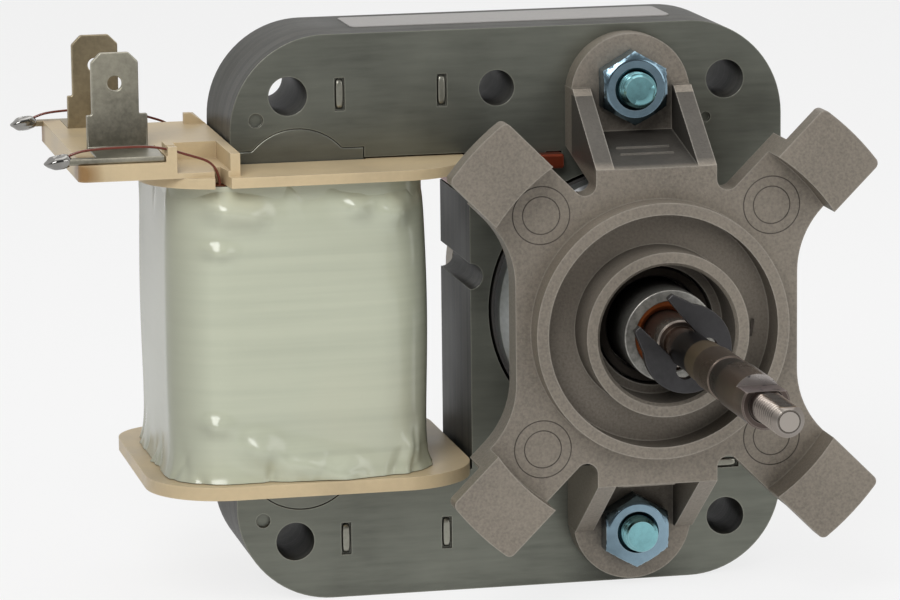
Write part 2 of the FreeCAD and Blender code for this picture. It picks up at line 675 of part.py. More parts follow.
    hollow = new_sketch(body, "leg_hollow_outline", "XY_Plane", tube_top)
    box_outline(hollow, inner_left, inner_right, -bobbin_fit, back)
    pocket(body, hollow, tube_top * 2, "leg_hollow")

    # Seats for the terminal feet, sunk to the thickness of the sheet and open outward.
    for side in (1, -1):
        seat = new_sketch(body, "foot_seat_%d" % (2 - side), "XY_Plane", tube_top + block_height)
        near_y, far_y = foot_span(side)
        x0, x1 = foot_sides()
        rim = block_front + bobbin_wall
        low = -rim if side > 0 else near_y - press_gap
        high = far_y + press_gap if side > 0 else core_depth + rim
        box_outline(seat, x0 - press_gap, x1 + press_gap, low, high)
        way = new_sketch(body, "tail_way_%d" % (2 - side), "XY_Plane", tube_top + block_height)
        low = -rim if side > 0 else far_y - tail_width - press_gap
        high = near_y + tail_width + press_gap if side > 0 else core_depth + rim
        box_outline(way, block_left - bobbin_wall, x0, low, high)
        pocket(body, seat, tab_thick, "foot_seat_cut_%d" % (2 - side))
        pocket(body, way, tab_thick, "tail_way_cut_%d" % (2 - side))
    return body


def tab_plane(side):
    """Middle of a blade along Y: the front one for side 1, the rear one for side -1."""
    return core_depth / 2 - tab_pitch * (0.5 * side)


def foot_span(side):
    """Front and back of a terminal foot: each foot runs outward from its blade."""
    middle = tab_plane(side)
    half = tab_thick / 2
    if side > 0:
        return middle - foot_depth, middle + half
    return middle - half, middle + foot_depth


def wire_level(side):
    """Plane along Y in which a lead wire runs: the middle of its solder tail."""
    near_y, far_y = foot_span(side)
    return near_y + tail_width / 2 if side > 0 else far_y - tail_width / 2


def foot_sides():
    """Left and right end of a terminal foot."""
    left = core_left - block_gap - block_length + tab_inset - tab_base_width / 2 + 0.2
    return left, left + tab_base_width + 0.9


def make_terminal(label, side):
    """Blade terminal bent from sheet: blade, base, foot and a tail for the wire."""
    body = new_body(label)
    top = window_top - flange_fit + block_height
    blade_x = core_left - block_gap - block_length + tab_inset
    middle = tab_plane(side)
    half = tab_thick / 2
    floor = top - tab_thick
    left, right = foot_sides()
    shoulder = floor + tab_base_height
    blade = new_sketch(body, label + "_blade_outline", "XZ_Plane", -middle - half)
    cut = tab_width * 0.2
    wide = tab_width / 2
    polygon(blade, [
        (left, floor), (left + tab_base_width, floor), (left + tab_base_width, shoulder),
        (blade_x + wide, shoulder), (blade_x + wide, shoulder + tab_height - cut),
        (blade_x + wide - cut, shoulder + tab_height), (blade_x - wide + cut, shoulder + tab_height),
        (blade_x - wide, shoulder + tab_height - cut), (blade_x - wide, shoulder),
        (left, shoulder),
    ])
    pad(body, blade, tab_thick, label + "_blade")
    hole = new_sketch(body, label + "_hole_outline", "XZ_Plane", -middle + half)
    circle(hole, (blade_x, shoulder + tab_height / 2), tab_hole / 2)
    pocket(body, hole, tab_thick, label + "_hole")
    near_y, far_y = foot_span(side)
    foot = new_sketch(body, label + "_foot_outline", "XY_Plane", floor)
    box_outline(foot, left, right, near_y, far_y)
    pad(body, foot, tab_thick, label + "_foot")
    edge = near_y if side > 0 else far_y
    tail_end = core_left - block_gap - block_length - tail_length
    tail = new_sketch(body, label + "_tail_outline", "XY_Plane", floor)
    if side > 0:
        box_outline(tail, tail_end, left + tail_width, edge, edge + tail_width)
    else:
        box_outline(tail, tail_end, left + tail_width, edge - tail_width, edge)
    pad(body, tail, tab_thick, label + "_tail")
    return body


def coil_ring(body, name, inset, left, right, front, back, corner, span):
    """Upright ring with rounded corners, between the bottom and top given by span."""
    bottom, top = span
    outer = new_sketch(body, name + "_outline", "XY_Plane", bottom)
    box_outline(outer, left + inset, right - inset, front + inset, back - inset)
    pad(body, outer, top - bottom, name + "_block")
    fillet(body, corner - inset, lambda e: straight(e, (0, 0, 1)), name + "_corners")
    inner = new_sketch(body, name + "_hollow_outline", "XY_Plane", top)
    return inner


def coil_box():
    left = core_left - tape_left
    right = window_right - tape_clear
    front = -tape_front
    back = core_depth + tape_front
    return left, right, front, back


def make_coil():
    """Wound coil and the tape round it, both between the flanges."""
    left, right, front, back = coil_box()
    top = window_top - flange_fit - flange_thick_top - tape_gap
    bottom = flange_fit + flange_thick + tape_gap - window_top
    tube_left = core_left - bobbin_fit - bobbin_wall - tape_gap
    tube_right = leg_right + bobbin_fit + bobbin_wall + tape_gap
    tube_front = -bobbin_fit - bobbin_wall - tape_gap
    tube_back = core_depth + bobbin_fit + bobbin_wall + tape_gap
    winding = new_body("coil_winding")
    inset = tape_thick + tape_gap
    span = (bottom, top)
    inner = coil_ring(winding, "winding", inset, left, right, front, back, tape_corner, span)
    box_outline(inner, tube_left, tube_right, tube_front, tube_back)
    pocket(winding, inner, top - bottom, "winding_hollow")

    tape = new_body("coil_tape")
    coil_ring(tape, "tape", ZERO, left, right, front, back, tape_corner, span)
    hollow = new_sketch(tape, "tape_inner_outline", "XY_Plane", top)
    rounded_box(hollow, left + tape_thick, right - tape_thick, front + tape_thick,
                back - tape_thick, tape_corner - tape_thick)
    pocket(tape, hollow, top - bottom, "tape_hollow")
    return winding, tape


def rounded_box(sketch, x0, x1, y0, y1, radius):
    """Add a box outline with round corners: four lines and four quarter arcs."""
    corners = [(x1 - radius, y0 + radius, -90), (x1 - radius, y1 - radius, 0),
               (x0 + radius, y1 - radius, 90), (x0 + radius, y0 + radius, 180)]
    arcs = []
    for cx, cy, start in corners:
        spot = Part.Circle(FreeCAD.Vector(cx.value, cy.value, 0), FreeCAD.Vector(0, 0, 1), radius.value)
        begin = math.radians(start)
        arcs.append(sketch.addGeometry(Part.ArcOfCircle(spot, begin, begin + math.pi / 2), False))
    for i in range(4):
        a, b = arcs[i], arcs[(i + 1) % 4]
        start = sketch.getPoint(a, 2)
        end = sketch.getPoint(b, 1)
        line = sketch.addGeometry(Part.LineSegment(start, end), False)
        sketch.addConstraint(Sketcher.Constraint("Tangent", a, 2, line, 1))
        sketch.addConstraint(Sketcher.Constraint("Tangent", line, 2, b, 1))
    index = sketch.addConstraint(Sketcher.Constraint("Radius", arcs[0], radius.value))
    sketch.setExpression("Constraints[%d]" % index, radius.text)
    pin_point(sketch, arcs[0], 3, (corners[0][0], corners[0][1]))
    pin_point(sketch, arcs[1], 3, (corners[1][0], corners[1][1]))
    pin_point(sketch, arcs[2], 3, (corners[2][0], corners[2][1]))
    pin_point(sketch, arcs[3], 3, (corners[3][0], corners[3][1]))
    return sketch


# Brackets

def foot_features(body, prefix, face, out, stand):
    """Sloped foot of a bracket above the axis: web, two side ribs and the lug plate.

    face is the stack face that it stands on, out is -1 to the front and +1 to the back,
    stand is how far the hub plate stands off.
    """
    half = foot_width / 2
    lug = face + lug_thick * out
    hub = face + stand * out
    hub_in = face + (stand - hub_thick) * out
    web_low = foot_edge - foot_web
    web = new_sketch(body, prefix + "_web_outline", "YZ_Plane", -half)
    polygon(web, [(face, web_low), (face, foot_edge), (lug, foot_edge), (hub, hub_top),
                  (hub, hub_top - foot_web), (hub_in, hub_top - foot_web)])
    made = [pad(body, web, foot_width, prefix + "_web")]
    for side, start in ((-1, -half), (1, half - foot_rib)):
        rib = new_sketch(body, "%s_rib_outline_%d" % (prefix, side + 1), "YZ_Plane", start)
        polygon(rib, [(face, web_low), (face, stud_z), (lug + rib_out * out, stud_z), (hub, hub_top),
                      (hub, hub_top - foot_web), (hub_in, hub_top - foot_web)])
        made.append(pad(body, rib, foot_rib, "%s_rib_%d" % (prefix, side + 1)))
    plate = -face if out < 0 else -lug
    lug_face = new_sketch(body, prefix + "_lug_outline", "XZ_Plane", plate)
    lug_outline(lug_face, half, web_low)
    made.append(pad(body, lug_face, lug_thick, prefix + "_lug"))
    return made


def lug_outline(sketch, half, low):
    """Round-ended lug: a box below the end's centre and a half circle above it."""
    spots = [(-half, low), (half, low), (half, lug_centre), (-half, lug_centre)]
    v = [FreeCAD.Vector(x.value, y.value, 0) for x, y in spots]
    crown = FreeCAD.Vector(0, (lug_centre + lug_radius).value, 0)
    base = sketch.addGeometry(Part.LineSegment(v[0], v[1]), False)
    right = sketch.addGeometry(Part.LineSegment(v[1], v[2]), False)
    arc = sketch.addGeometry(Part.Arc(v[2], crown, v[3]), False)
    left = sketch.addGeometry(Part.LineSegment(v[3], v[0]), False)
    sketch.addConstraint(Sketcher.Constraint("Coincident", base, 2, right, 1))
    sketch.addConstraint(Sketcher.Constraint("Coincident", right, 2, arc, 1))
    sketch.addConstraint(Sketcher.Constraint("Coincident", arc, 2, left, 1))
    sketch.addConstraint(Sketcher.Constraint("Coincident", left, 2, base, 1))
    pin_point(sketch, base, 1, spots[0])
    pin_point(sketch, base, 2, spots[1])
    pin_point(sketch, right, 2, spots[2])
    pin_point(sketch, left, 1, spots[3])
    index = sketch.addConstraint(Sketcher.Constraint("DistanceY", -1, 1, arc, 3, lug_centre.value))
    sketch.setExpression("Constraints[%d]" % index, lug_centre.text)


def hub_outline():
    """Corners of the hub plate with its four arms, once round, sharp: blends come after."""
    root = math.sqrt(2.0)
    offset = arm_width / root
    reach = arm_reach / root
    half = offset / 2
    side = foot_width / 2
    quarter = [(hub_side, hub_side - offset), (reach + half, reach - half),
               (reach - half, reach + half), (side, side + offset), (side, hub_top)]
    points = []
    for sx, sz, order in ((1, 1, 1), (-1, 1, -1), (-1, -1, 1), (1, -1, -1)):
        for x, z in quarter[::order]:
            points.append((x * sx, z * sz))
    return points


def make_front_bracket():
    """Die-cast bracket: bearing boss, rims, four arms with stepped pads and two feet."""
    body = new_body("front_bracket", at_shaft=True)
    plate = new_sketch(body, "hub_plate_outline", "XZ_Plane", hub_stand - hub_thick)
    polygon(plate, hub_outline())
    pad(body, plate, hub_thick, "hub_plate")
    corner = hub_side - arm_width / math.sqrt(2.0)
    fillet(body, arm_blend,
           lambda e: straight(e, (0, 1, 0)) and near(abs(e.CenterOfMass.x), hub_side)
           and near(abs(e.CenterOfMass.z), corner), "arm_blends")
    side = foot_width / 2
    apex = side + arm_width / math.sqrt(2.0)
    fillet(body, (hub_top - apex) * 0.275,
           lambda e: straight(e, (0, 1, 0)) and near(abs(e.CenterOfMass.x), side)
           and near(abs(e.CenterOfMass.z), apex), "slot_blends")

    middle = new_sketch(body, "hub_opening_outline", "XZ_Plane", hub_stand)
    circle(middle, (ZERO, ZERO), (rim_outer + rim_inner) / 2)
    pocket(body, middle, hub_thick, "hub_opening")
    profile = new_sketch(body, "hub_profile", "XY_Plane")
    rim_y = -hub_stand - rim_rise
    floor_y = -hub_stand + dish_depth
    boss_y = -hub_stand - boss_rise
    moat_y = boss_y + moat_depth
    back_y = -hub_stand + hub_thick
    polygon(profile, [
        (rim_outer, back_y), (rim_outer, rim_y), (rim_inner, rim_y), (rim_inner, floor_y),
        (boss_outer, floor_y), (boss_outer, boss_y), (boss_inner + boss_bevel, boss_y),
        (boss_inner, boss_y + boss_bevel), (boss_inner, moat_y), (boss_inner - moat_ledge, moat_y),
        (boss_inner - moat_ledge, boss_y + pit_depth), (sleeve_outer, boss_y + pit_depth),
        (sleeve_outer, back_y + back_boss_rise), (back_boss, back_y + back_boss_rise),
        (back_boss, back_y),
    ])
    turned(body, profile, "hub_turned")

    riser = new_sketch(body, "riser_outline", "XZ_Plane", hub_stand - hub_thick, 45.0)
    sector(riser, pad_inner, pad_inner + riser_wall, arm_width / 2)
    riser_pad = pad(body, riser, hub_thick + pad_stand - pad_thick / 2, "riser")
    foot = new_sketch(body, "pad_outline", "XZ_Plane", hub_stand + pad_stand - pad_thick, 45.0)
    sector(foot, pad_inner, pad_outer, arm_width / 2)
    foot_pad = pad(body, foot, pad_thick, "mounting_pad")
    polar(body, [riser_pad, foot_pad], riser, 4, "pads")
    top = hub_stand + pad_stand
    fillet(body, pad_corner,
           lambda e: straight(e, (0, 1, 0)) and e.CenterOfMass.y < -(top - pad_thick).value
           and math.hypot(e.CenterOfMass.x, e.CenterOfMass.z) > pad_outer.value - 0.5,
           "pad_corners")

    upper = foot_features(body, "foot", ZERO, -1, hub_stand)
    for i, share in enumerate((0.45, 0.62)):
        run = lug_thick + (hub_stand - lug_thick) * share
        level = foot_edge - (foot_edge - hub_top) * share
        ridge = new_sketch(body, "ridge_outline_%d" % (i + 1), "YZ_Plane", -foot_width * 0.22)
        polygon(ridge, [(-run - step_height, level - foot_web / 2), (-run, level - foot_web / 2),
                        (-run, level + step_height / 2), (-run - step_height, level + step_height / 2)])
        upper.append(pad(body, ridge, foot_width * 0.44, "ridge_%d" % (i + 1)))
    mirrored(body, upper, "XY_Plane", "lower_foot")
    holes = new_sketch(body, "stud_hole_outline", "XZ_Plane", lug_thick)
    for side in (-1, 1):
        circle(holes, (ZERO, stud_z * side), stud_diameter / 2 + stud_fit)
    pocket(body, holes, lug_thick, "stud_holes")
    return body


def make_rear_bracket():
    """Plain die-cast bracket behind the stack: a bridge with two feet and a bearing boss."""
    body = new_body("rear_bracket", at_shaft=True)
    face = core_depth
    plate = new_sketch(body, "rear_plate_outline", "XZ_Plane", -face - hub_stand)
    half = foot_width / 2
    box_outline(plate, -half, half, -hub_top, hub_top)
    circle_plate = new_sketch(body, "rear_disc_outline", "XZ_Plane", -face - hub_stand)
    circle(circle_plate, (ZERO, ZERO), rim_outer)
    pad(body, plate, hub_thick, "rear_plate")
    pad(body, circle_plate, hub_thick, "rear_disc")
    middle = new_sketch(body, "rear_opening_outline", "XZ_Plane", -face - hub_stand + hub_thick)
    circle(middle, (ZERO, ZERO), boss_outer - bobbin_wall)
    pocket(body, middle, hub_thick, "rear_opening")
    profile = new_sketch(body, "rear_hub_profile", "XY_Plane")
    plate_y = face + hub_stand - hub_thick
    out_y = face + hub_stand
    boss_y = out_y + boss_rise
    moat_y = boss_y - moat_depth
    polygon(profile, [
        (boss_outer, plate_y), (boss_outer, boss_y), (boss_inner + boss_bevel, boss_y),
        (boss_inner, boss_y - boss_bevel), (boss_inner, moat_y), (boss_inner - moat_ledge, moat_y),
        (boss_inner - moat_ledge, boss_y - pit_depth), (sleeve_outer, boss_y - pit_depth),
        (sleeve_outer, plate_y - back_boss_rise), (back_boss, plate_y - back_boss_rise),
        (back_boss, plate_y),
    ])
    turned(body, profile, "rear_hub_turned")
    upper = foot_features(body, "rear_foot", face, 1, hub_stand)
    mirrored(body, upper, "XY_Plane", "rear_lower_foot")
    holes = new_sketch(body, "rear_stud_hole_outline", "XZ_Plane", -face)
    for side in (-1, 1):
        circle(holes, (ZERO, stud_z * side), stud_diameter / 2 + stud_fit)
    pocket(body, holes, lug_thick, "rear_stud_holes")
    return body


def turned_part(label, points):
    """A sub-part turned round the shaft axis from (radius, y) corners."""
    body = new_body(label, at_shaft=True)
    profile = new_sketch(body, label + "_profile", "XY_Plane")
    polygon(profile, points)
    turned(body, profile, label + "_turned")
    return body


def bearing_span(out):
    """Outer and inner end of a bearing sleeve along Y, out -1 front, +1 rear."""
    face = ZERO if out < 0 else core_depth
    outer = face + (hub_stand + boss_rise + sleeve_out) * out
    inner = face + (hub_stand - hub_thick - back_boss_rise) * out
    return outer, inner


def make_bearing(name, out):
    """Sleeve, bush and oil felt of one bearing."""
    outer, inner = bearing_span(out)
    bush_outer = journal + journal_fit + bush_wall
    bush_face = outer - bush_recess * out
    bush_back = bush_face - bush_length * out
    turned_part(name + "_bearing_sleeve", [
        (bush_outer + press_gap, outer), (sleeve_outer - press_gap, outer),
        (sleeve_outer - press_gap, inner), (bush_outer + press_gap, inner)])
    bevel = bush_wall * 0.45
    turned_part(name + "_bush", [
        (journal + journal_fit, bush_face - bevel * out), (journal + journal_fit + bevel, bush_face),
        (bush_outer, bush_face), (bush_outer, bush_back), (journal + journal_fit, bush_back)])
    pit = outer - (sleeve_out + pit_depth) * out
    felt_outer = boss_inner - moat_ledge - felt_gap
    turned_part(name + "_oil_felt", [
        (sleeve_outer + felt_gap, pit + felt_gap * out), (felt_outer, pit + felt_gap * out),
        (felt_outer, pit + (felt_gap + felt_depth) * out),
        (sleeve_outer + felt_gap, pit + (felt_gap + felt_depth) * out)])
    return bush_back


# Rotor

def make_shaft(front_washer, rear_washer):
    """Turned shaft: rotor seat, journals, clip groove, fan seat with a flat, and thread."""
    body = new_body("rotor_shaft", at_shaft=True)
    profile = new_sketch(body, "shaft_profile", "XY_Plane")
    bevel = tip_bevel / 3
    polygon(profile, [
        (ZERO, shaft_rear), (journal - bevel, shaft_rear), (journal, shaft_rear - bevel),
        (journal, rear_washer), (core_seat, rear_washer), (core_seat, front_washer),
        (journal, front_washer),
        (journal, -groove_start + bevel), (journal - bevel, -groove_start),
        (groove_radius, -groove_start), (groove_radius, -groove_end),
        (neck_radius, -groove_end), (neck_radius, -collar_start),
        (collar_radius, -collar_start), (collar_radius, -body_start),
        (body_radius, -body_start), (body_radius, -relief_start),
        (relief_radius, -relief_start), (relief_radius, -seat_start),
        (journal, -seat_start), (journal, -seat_end + bevel),
        (journal - bevel, -seat_end), (thread_root, -seat_end),
        (thread_root, -thread_start), (thread_radius, -thread_start - bevel),
        (thread_radius, -tip + tip_bevel), (thread_radius - tip_bevel, -tip), (ZERO, -tip),
    ])
    turned(body, profile, "shaft_turned")
    flat = new_sketch(body, "flat_outline", "XZ_Plane", tip)
    box_outline(flat, -journal, journal, flat_height, journal)
    pocket(body, flat, tip - flat_start, "drive_flat")
    return body


def make_rotor(front_washer, rear_washer):
    """Rotor stack with round slots, and the cast cage of bars and end rings."""
    rotor = new_body("rotor_core", at_shaft=True)
    outer = bore_radius - air_gap
    disc = new_sketch(rotor, "rotor_outline", "XZ_Plane", -core_depth)
    circle(disc, (ZERO, ZERO), outer)
    circle(disc, (ZERO, ZERO), core_seat + press_gap)
    pad(rotor, disc, core_depth, "rotor_stack")
    slot = new_sketch(rotor, "rotor_slot_outline", "XZ_Plane")
    wide = bar_wide / 2 + press_gap
    box_outline(slot, bar_reach - bar_deep - press_gap, bar_reach + press_gap, -wide, wide)
    slot_cut = pocket(rotor, slot, core_depth, "rotor_slot")
    polar(rotor, [slot_cut], slot, cage_bars, "rotor_slots")

    cage = new_body("rotor_cage", at_shaft=True)
    profile = new_sketch(cage, "cage_front_profile", "XY_Plane")
    bevel = cage_rise * 0.4
    polygon(profile, [(cage_inner, ZERO), (cage_outer, ZERO), (cage_outer, -cage_rise + bevel),
                      (cage_outer - bevel, -cage_rise), (cage_inner, -cage_rise)])
    turned(cage, profile, "cage_front_ring")
    bar = new_sketch(cage, "cage_bar_outline", "XZ_Plane", -core_depth)
    box_outline(bar, bar_reach - bar_deep, bar_reach, -bar_wide / 2, bar_wide / 2)
    bar_pad = pad(cage, bar, core_depth, "cage_bar")
    polar(cage, [bar_pad], bar, cage_bars, "cage_bar_set")
    profile = new_sketch(cage, "cage_rear_profile", "XY_Plane")
    back = core_depth
    polygon(profile, [(cage_inner, back), (cage_inner, back + cage_rise),
                      (cage_outer - bevel, back + cage_rise),
                      (cage_outer, back + cage_rise - bevel), (cage_outer, back)])
    turned(cage, profile, "cage_rear_ring")
    return rotor, cage


def make_clip():
    """Horseshoe clip in its groove, with the mouth to the upper left."""
    body = new_body("shaft_clip", at_shaft=True)
    stand = clip_front - clip_thick
    turn = 132.5
    ring = new_sketch(body, "clip_outline", "XZ_Plane", stand, turn)
    circle(ring, (ZERO, ZERO), clip_radius)
    pad(body, ring, clip_thick, "clip_ring")
    reach = clip_radius * 0.75
    width = clip_radius * 0.735
    prongs = new_sketch(body, "prong_outline", "XZ_Plane", stand, turn)
    polygon(prongs, [(ZERO, -clip_radius * 0.97), (reach, -width), (clip_tip, -width * 0.8),
                     (clip_tip, width * 0.8), (reach, width), (ZERO, clip_radius * 0.97)])
    pad(body, prongs, clip_thick, "clip_prongs")
    seat = new_sketch(body, "clip_seat_outline", "XZ_Plane", clip_front, turn)
    circle(seat, (ZERO, ZERO), groove_radius + clip_fit)
    pocket(body, seat, clip_thick, "clip_seat")
    throat = new_sketch(body, "clip_mouth_outline", "XZ_Plane", clip_front, turn)
    polygon(throat, [(ZERO, -groove_radius * 0.93), (clip_tip + 1.0, -clip_mouth / 2),
                     (clip_tip + 1.0, clip_mouth / 2), (ZERO, groove_radius * 0.93)])
    pocket(body, throat, clip_thick, "clip_mouth_cut")
    relief = new_sketch(body, "clip_relief_outline", "XZ_Plane", clip_front, turn)
    for side in (-1, 1):
        circle(relief, (-clip_radius * 0.3, clip_radius * (0.36 * side)), clip_thick)
    pocket(body, relief, clip_thick, "clip_relief")
    flat = clip_tip.value - 0.01
    fillet(body, clip_thick * 0.25,
           lambda e: straight(e, (0, 1, 0)) and tip_edge(e, turn, flat), "prong_tips")
    return body


def tip_edge(edge, turn, reach):
    """True for an outer edge at the end of a prong."""
    angle = math.radians(turn)
    u = edge.CenterOfMass.x * math.cos(angle) + edge.CenterOfMass.z * math.sin(angle)
    v = edge.CenterOfMass.z * math.cos(angle) - edge.CenterOfMass.x * math.sin(angle)
    return u > reach and abs(v) > clip_mouth.value / 2 + 0.1


def hexagon(sketch, centre_z, flats):
    """Add a hexagon with its flats to the left and right."""
    half = flats / 2
    corner = flats / math.sqrt(3.0)
    polygon(sketch, [(half, centre_z - corner / 2), (half, centre_z + corner / 2),
                     (ZERO, centre_z + corner), (-half, centre_z + corner / 2),
                     (-half, centre_z - corner / 2), (ZERO, centre_z - corner)])


def bevelled(body, base, faces, name):
    """Turn off the corners of hexagons on both through bolts at a face looking outward."""
    for side in (1, -1):
        trim = new_sketch(body, "%s_outline_%d" % (name, 2 - side), "YZ_Plane")
        axis_z = stud_z * side
        centre = trim.addGeometry(Part.LineSegment(
            FreeCAD.Vector(base.value, axis_z.value, 0),
            FreeCAD.Vector(base.value + faces, axis_z.value, 0)), True)
        pin_point(trim, centre, 1, (base, axis_z))
        trim.addConstraint(Sketcher.Constraint("Horizontal", centre))
        inner = axis_z + nut_flats * (0.45 * side)
        outer = axis_z + nut_flats * (0.65 * side)
        polygon(trim, [(base, inner), (base - 0.3 * faces, inner), (base - 0.3 * faces, outer),
                       (base + nut_height * (0.27 * faces), outer)])
        cut = body.newObject("PartDesign::Groove", "%s_%d" % (name, 2 - side))
        cut.Profile = trim
        cut.ReferenceAxis = (trim, ["Axis0"])
        cut.Angle = 360.0
        doc.recompute()


def make_fasteners():
    """Two through bolts and their two nuts, each pair in one sub-part."""
    bolts = new_body("through_bolts", at_shaft=True)
    front = lug_thick + nut_height + bolt_out
    back = core_depth + lug_thick
    for side in (1, -1):
        rod = new_sketch(bolts, "bolt_outline_%d" % (2 - side), "XZ_Plane", -back)
        circle(rod, (ZERO, stud_z * side), stud_diameter / 2)
        pad(bolts, rod, back + front, "bolt_rod_%d" % (2 - side))
        head = new_sketch(bolts, "bolt_head_outline_%d" % (2 - side), "XZ_Plane", -back - bolt_head)
        hexagon(head, stud_z * side, nut_flats)
        pad(bolts, head, bolt_head, "bolt_head_%d" % (2 - side))
    base = bolts.Tip
    end = bolts.newObject("PartDesign::Chamfer", "bolt_end_bevel")
    names = []
    for i, edge in enumerate(bolts.Shape.Edges):
        if edge.Curve.TypeId == "Part::GeomCircle" and near(edge.CenterOfMass.y, -front):
            names.append("Edge%d" % (i + 1))
    end.Base = (base, names)
    end.Size = tip_bevel.value * 0.75
    end.setExpression("Size", (tip_bevel * 0.75).text)
    doc.recompute()

    nuts = new_body("nuts", at_shaft=True)
    for side in (1, -1):
        block = new_sketch(nuts, "nut_outline_%d" % (2 - side), "XZ_Plane", lug_thick)
        hexagon(block, stud_z * side, nut_flats)
        circle(block, (ZERO, stud_z * side), stud_diameter / 2 + press_gap)
        pad(nuts, block, nut_height, "nut_block_%d" % (2 - side))
    bevelled(nuts, -lug_thick - nut_height, 1, "nut_bevel")
    return bolts, nuts


def make_solder():
    """Rounded solder joint on the tail of each terminal."""
    body = new_body("solder_joints")
    top = window_top - flange_fit + block_height
    left = core_left - block_gap - block_length - tail_length
    for side in (1, -1):
        middle = wire_level(side)
        blob = new_sketch(body, "solder_outline_%d" % (2 - side), "XY_Plane", top)
        circle(blob, (left + tail_width * 1.2, middle), tail_width * 0.95)
        pad(body, blob, tab_thick * 1.2, "solder_%d" % (2 - side))
    names = []
    for i, edge in enumerate(body.Shape.Edges):
        if edge.Curve.TypeId == "Part::GeomCircle" and edge.CenterOfMass.z > top.value + 0.5:
            names.append("Edge%d" % (i + 1))
    base = body.Tip
    dome = body.newObject("PartDesign::Chamfer", "solder_domes")
    dome.Base = (base, names)
    dome.Size = tab_thick.value * 0.7
    dome.setExpression("Size", (tab_thick * 0.7).text)
    doc.recompute()
    return body


def make_lead_wires():
    """Magnet wire from each solder joint along the block and down to the coil."""
    body = new_body("lead_wires")
    top = window_top - flange_fit + block_height
    left = core_left - block_gap - block_length
    start = left - tail_length + tail_width * 2.2 + press_gap
    vee_x = core_left - block_gap - fin_thick - bobbin_wall
    drop = window_top - flange_fit - flange_thick_top + press_gap
    for side in (1, -1):
        level = wire_level(side)
        name = "front" if side > 0 else "rear"
        path = new_sketch(body, name + "_wire_path", "XZ_Plane", -level)
        spots = [(start, top + 0.5), (start + 0.6, top + 0.5), (left + 1.2, top + 1.0),
                 (left + 4.3, top + 1.2), (left + 9.2, top + 1.2), (left + 11.3, top + 0.9),
                 (left + 13.2, top + 0.4), (left + 17.0, top - 0.9), (vee_x - wire, top - 1.8),
                 (vee_x, top - 3.0), (vee_x, drop)]
        for i in range(len(spots) - 1):
            a = FreeCAD.Vector(spots[i][0].value, spots[i][1].value, 0)
            b = FreeCAD.Vector(spots[i + 1][0].value, spots[i + 1][1].value, 0)
            path.addGeometry(Part.LineSegment(a, b), False)
            if i:
                path.addConstraint(Sketcher.Constraint("Coincident", i - 1, 2, i, 1))
        for i, spot in enumerate(spots[:-1]):
            pin_point(path, i, 1, spot)
        pin_point(path, len(spots) - 2, 2, spots[-1])
        ring = new_sketch(body, name + "_wire_ring", "YZ_Plane", start)
        circle(ring, (level, top + 0.5), wire / 2)
        doc.recompute()
        pipe = body.newObject("PartDesign::AdditivePipe", name + "_wire")
        pipe.Profile = ring
        pipe.Spine = (path, ["Edge%d" % (i + 1) for i in range(len(spots) - 1)])
        pipe.Transition = "Right corner"
        doc.recompute()
    return body


def make_label():
    """Thin rating label on top of the stack."""
    body = new_body("rating_label")
    face = new_sketch(body, "label_outline", "XY_Plane", core_height / 2)
    box_outline(face, label_left, label_left + label_length, label_front, label_front + label_width)
    pad(body, face, label_thick, "label_sheet")
    fillet(body, label_thick * 8, lambda e: straight(e, (0, 0, 1)), "label_corners")
    return body


make_stator_core()
make_coil_leg()
for name, place in ring_places().items():
    make_shading_ring(name, *place)
make_bobbin()
make_coil()
make_terminal("terminal_front", 1)
make_terminal("terminal_rear", -1)
make_solder()
make_lead_wires()
make_front_bracket()
make_rear_bracket()
front_end = make_bearing("front", -1)
rear_end = make_bearing("rear", 1)
front_shoulder = front_end + end_play + washer_thick
rear_shoulder = rear_end - end_play - washer_thick
make_shaft(front_shoulder, rear_shoulder)
make_rotor(front_shoulder, rear_shoulder)
bore = journal + press_gap
turned_part("front_thrust_washer", [
    (bore, front_shoulder), (washer_radius, front_shoulder),
    (washer_radius, front_shoulder - washer_thick), (bore, front_shoulder - washer_thick)])
turned_part("rear_thrust_washer", [
    (bore, rear_shoulder), (washer_radius, rear_shoulder),
    (washer_radius, rear_shoulder + washer_thick), (bore, rear_shoulder + washer_thick)])
make_clip()
make_fasteners()
make_label()

doc.recompute()
for item in doc.Objects:
    if "Invalid" in item.State or "Error" in item.State:
        raise RuntimeError("failed: %s %s" % (item.Name, item.State))
for node in nodes:
    if node.Shape.isNull() or not node.Shape.isValid():
        raise RuntimeError("bad shape: " + node.Label)

os.makedirs("parts", exist_ok=True)
for node in nodes:
    print(node.Label, len(node.Shape.Solids), round(node.Shape.Volume, 1), [round(v, 2) for v in (
        node.Shape.BoundBox.XMin, node.Shape.BoundBox.XMax, node.Shape.BoundBox.YMin,
        node.Shape.BoundBox.YMax, node.Shape.BoundBox.ZMin, node.Shape.BoundBox.ZMax)])
    node.Shape.exportStep("parts/%s.step" % node.Label)
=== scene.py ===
import logging
import math
from contextlib import contextmanager
from dataclasses import dataclass, replace
from enum import Enum
from typing import Callable, Iterator, Mapping, Sequence

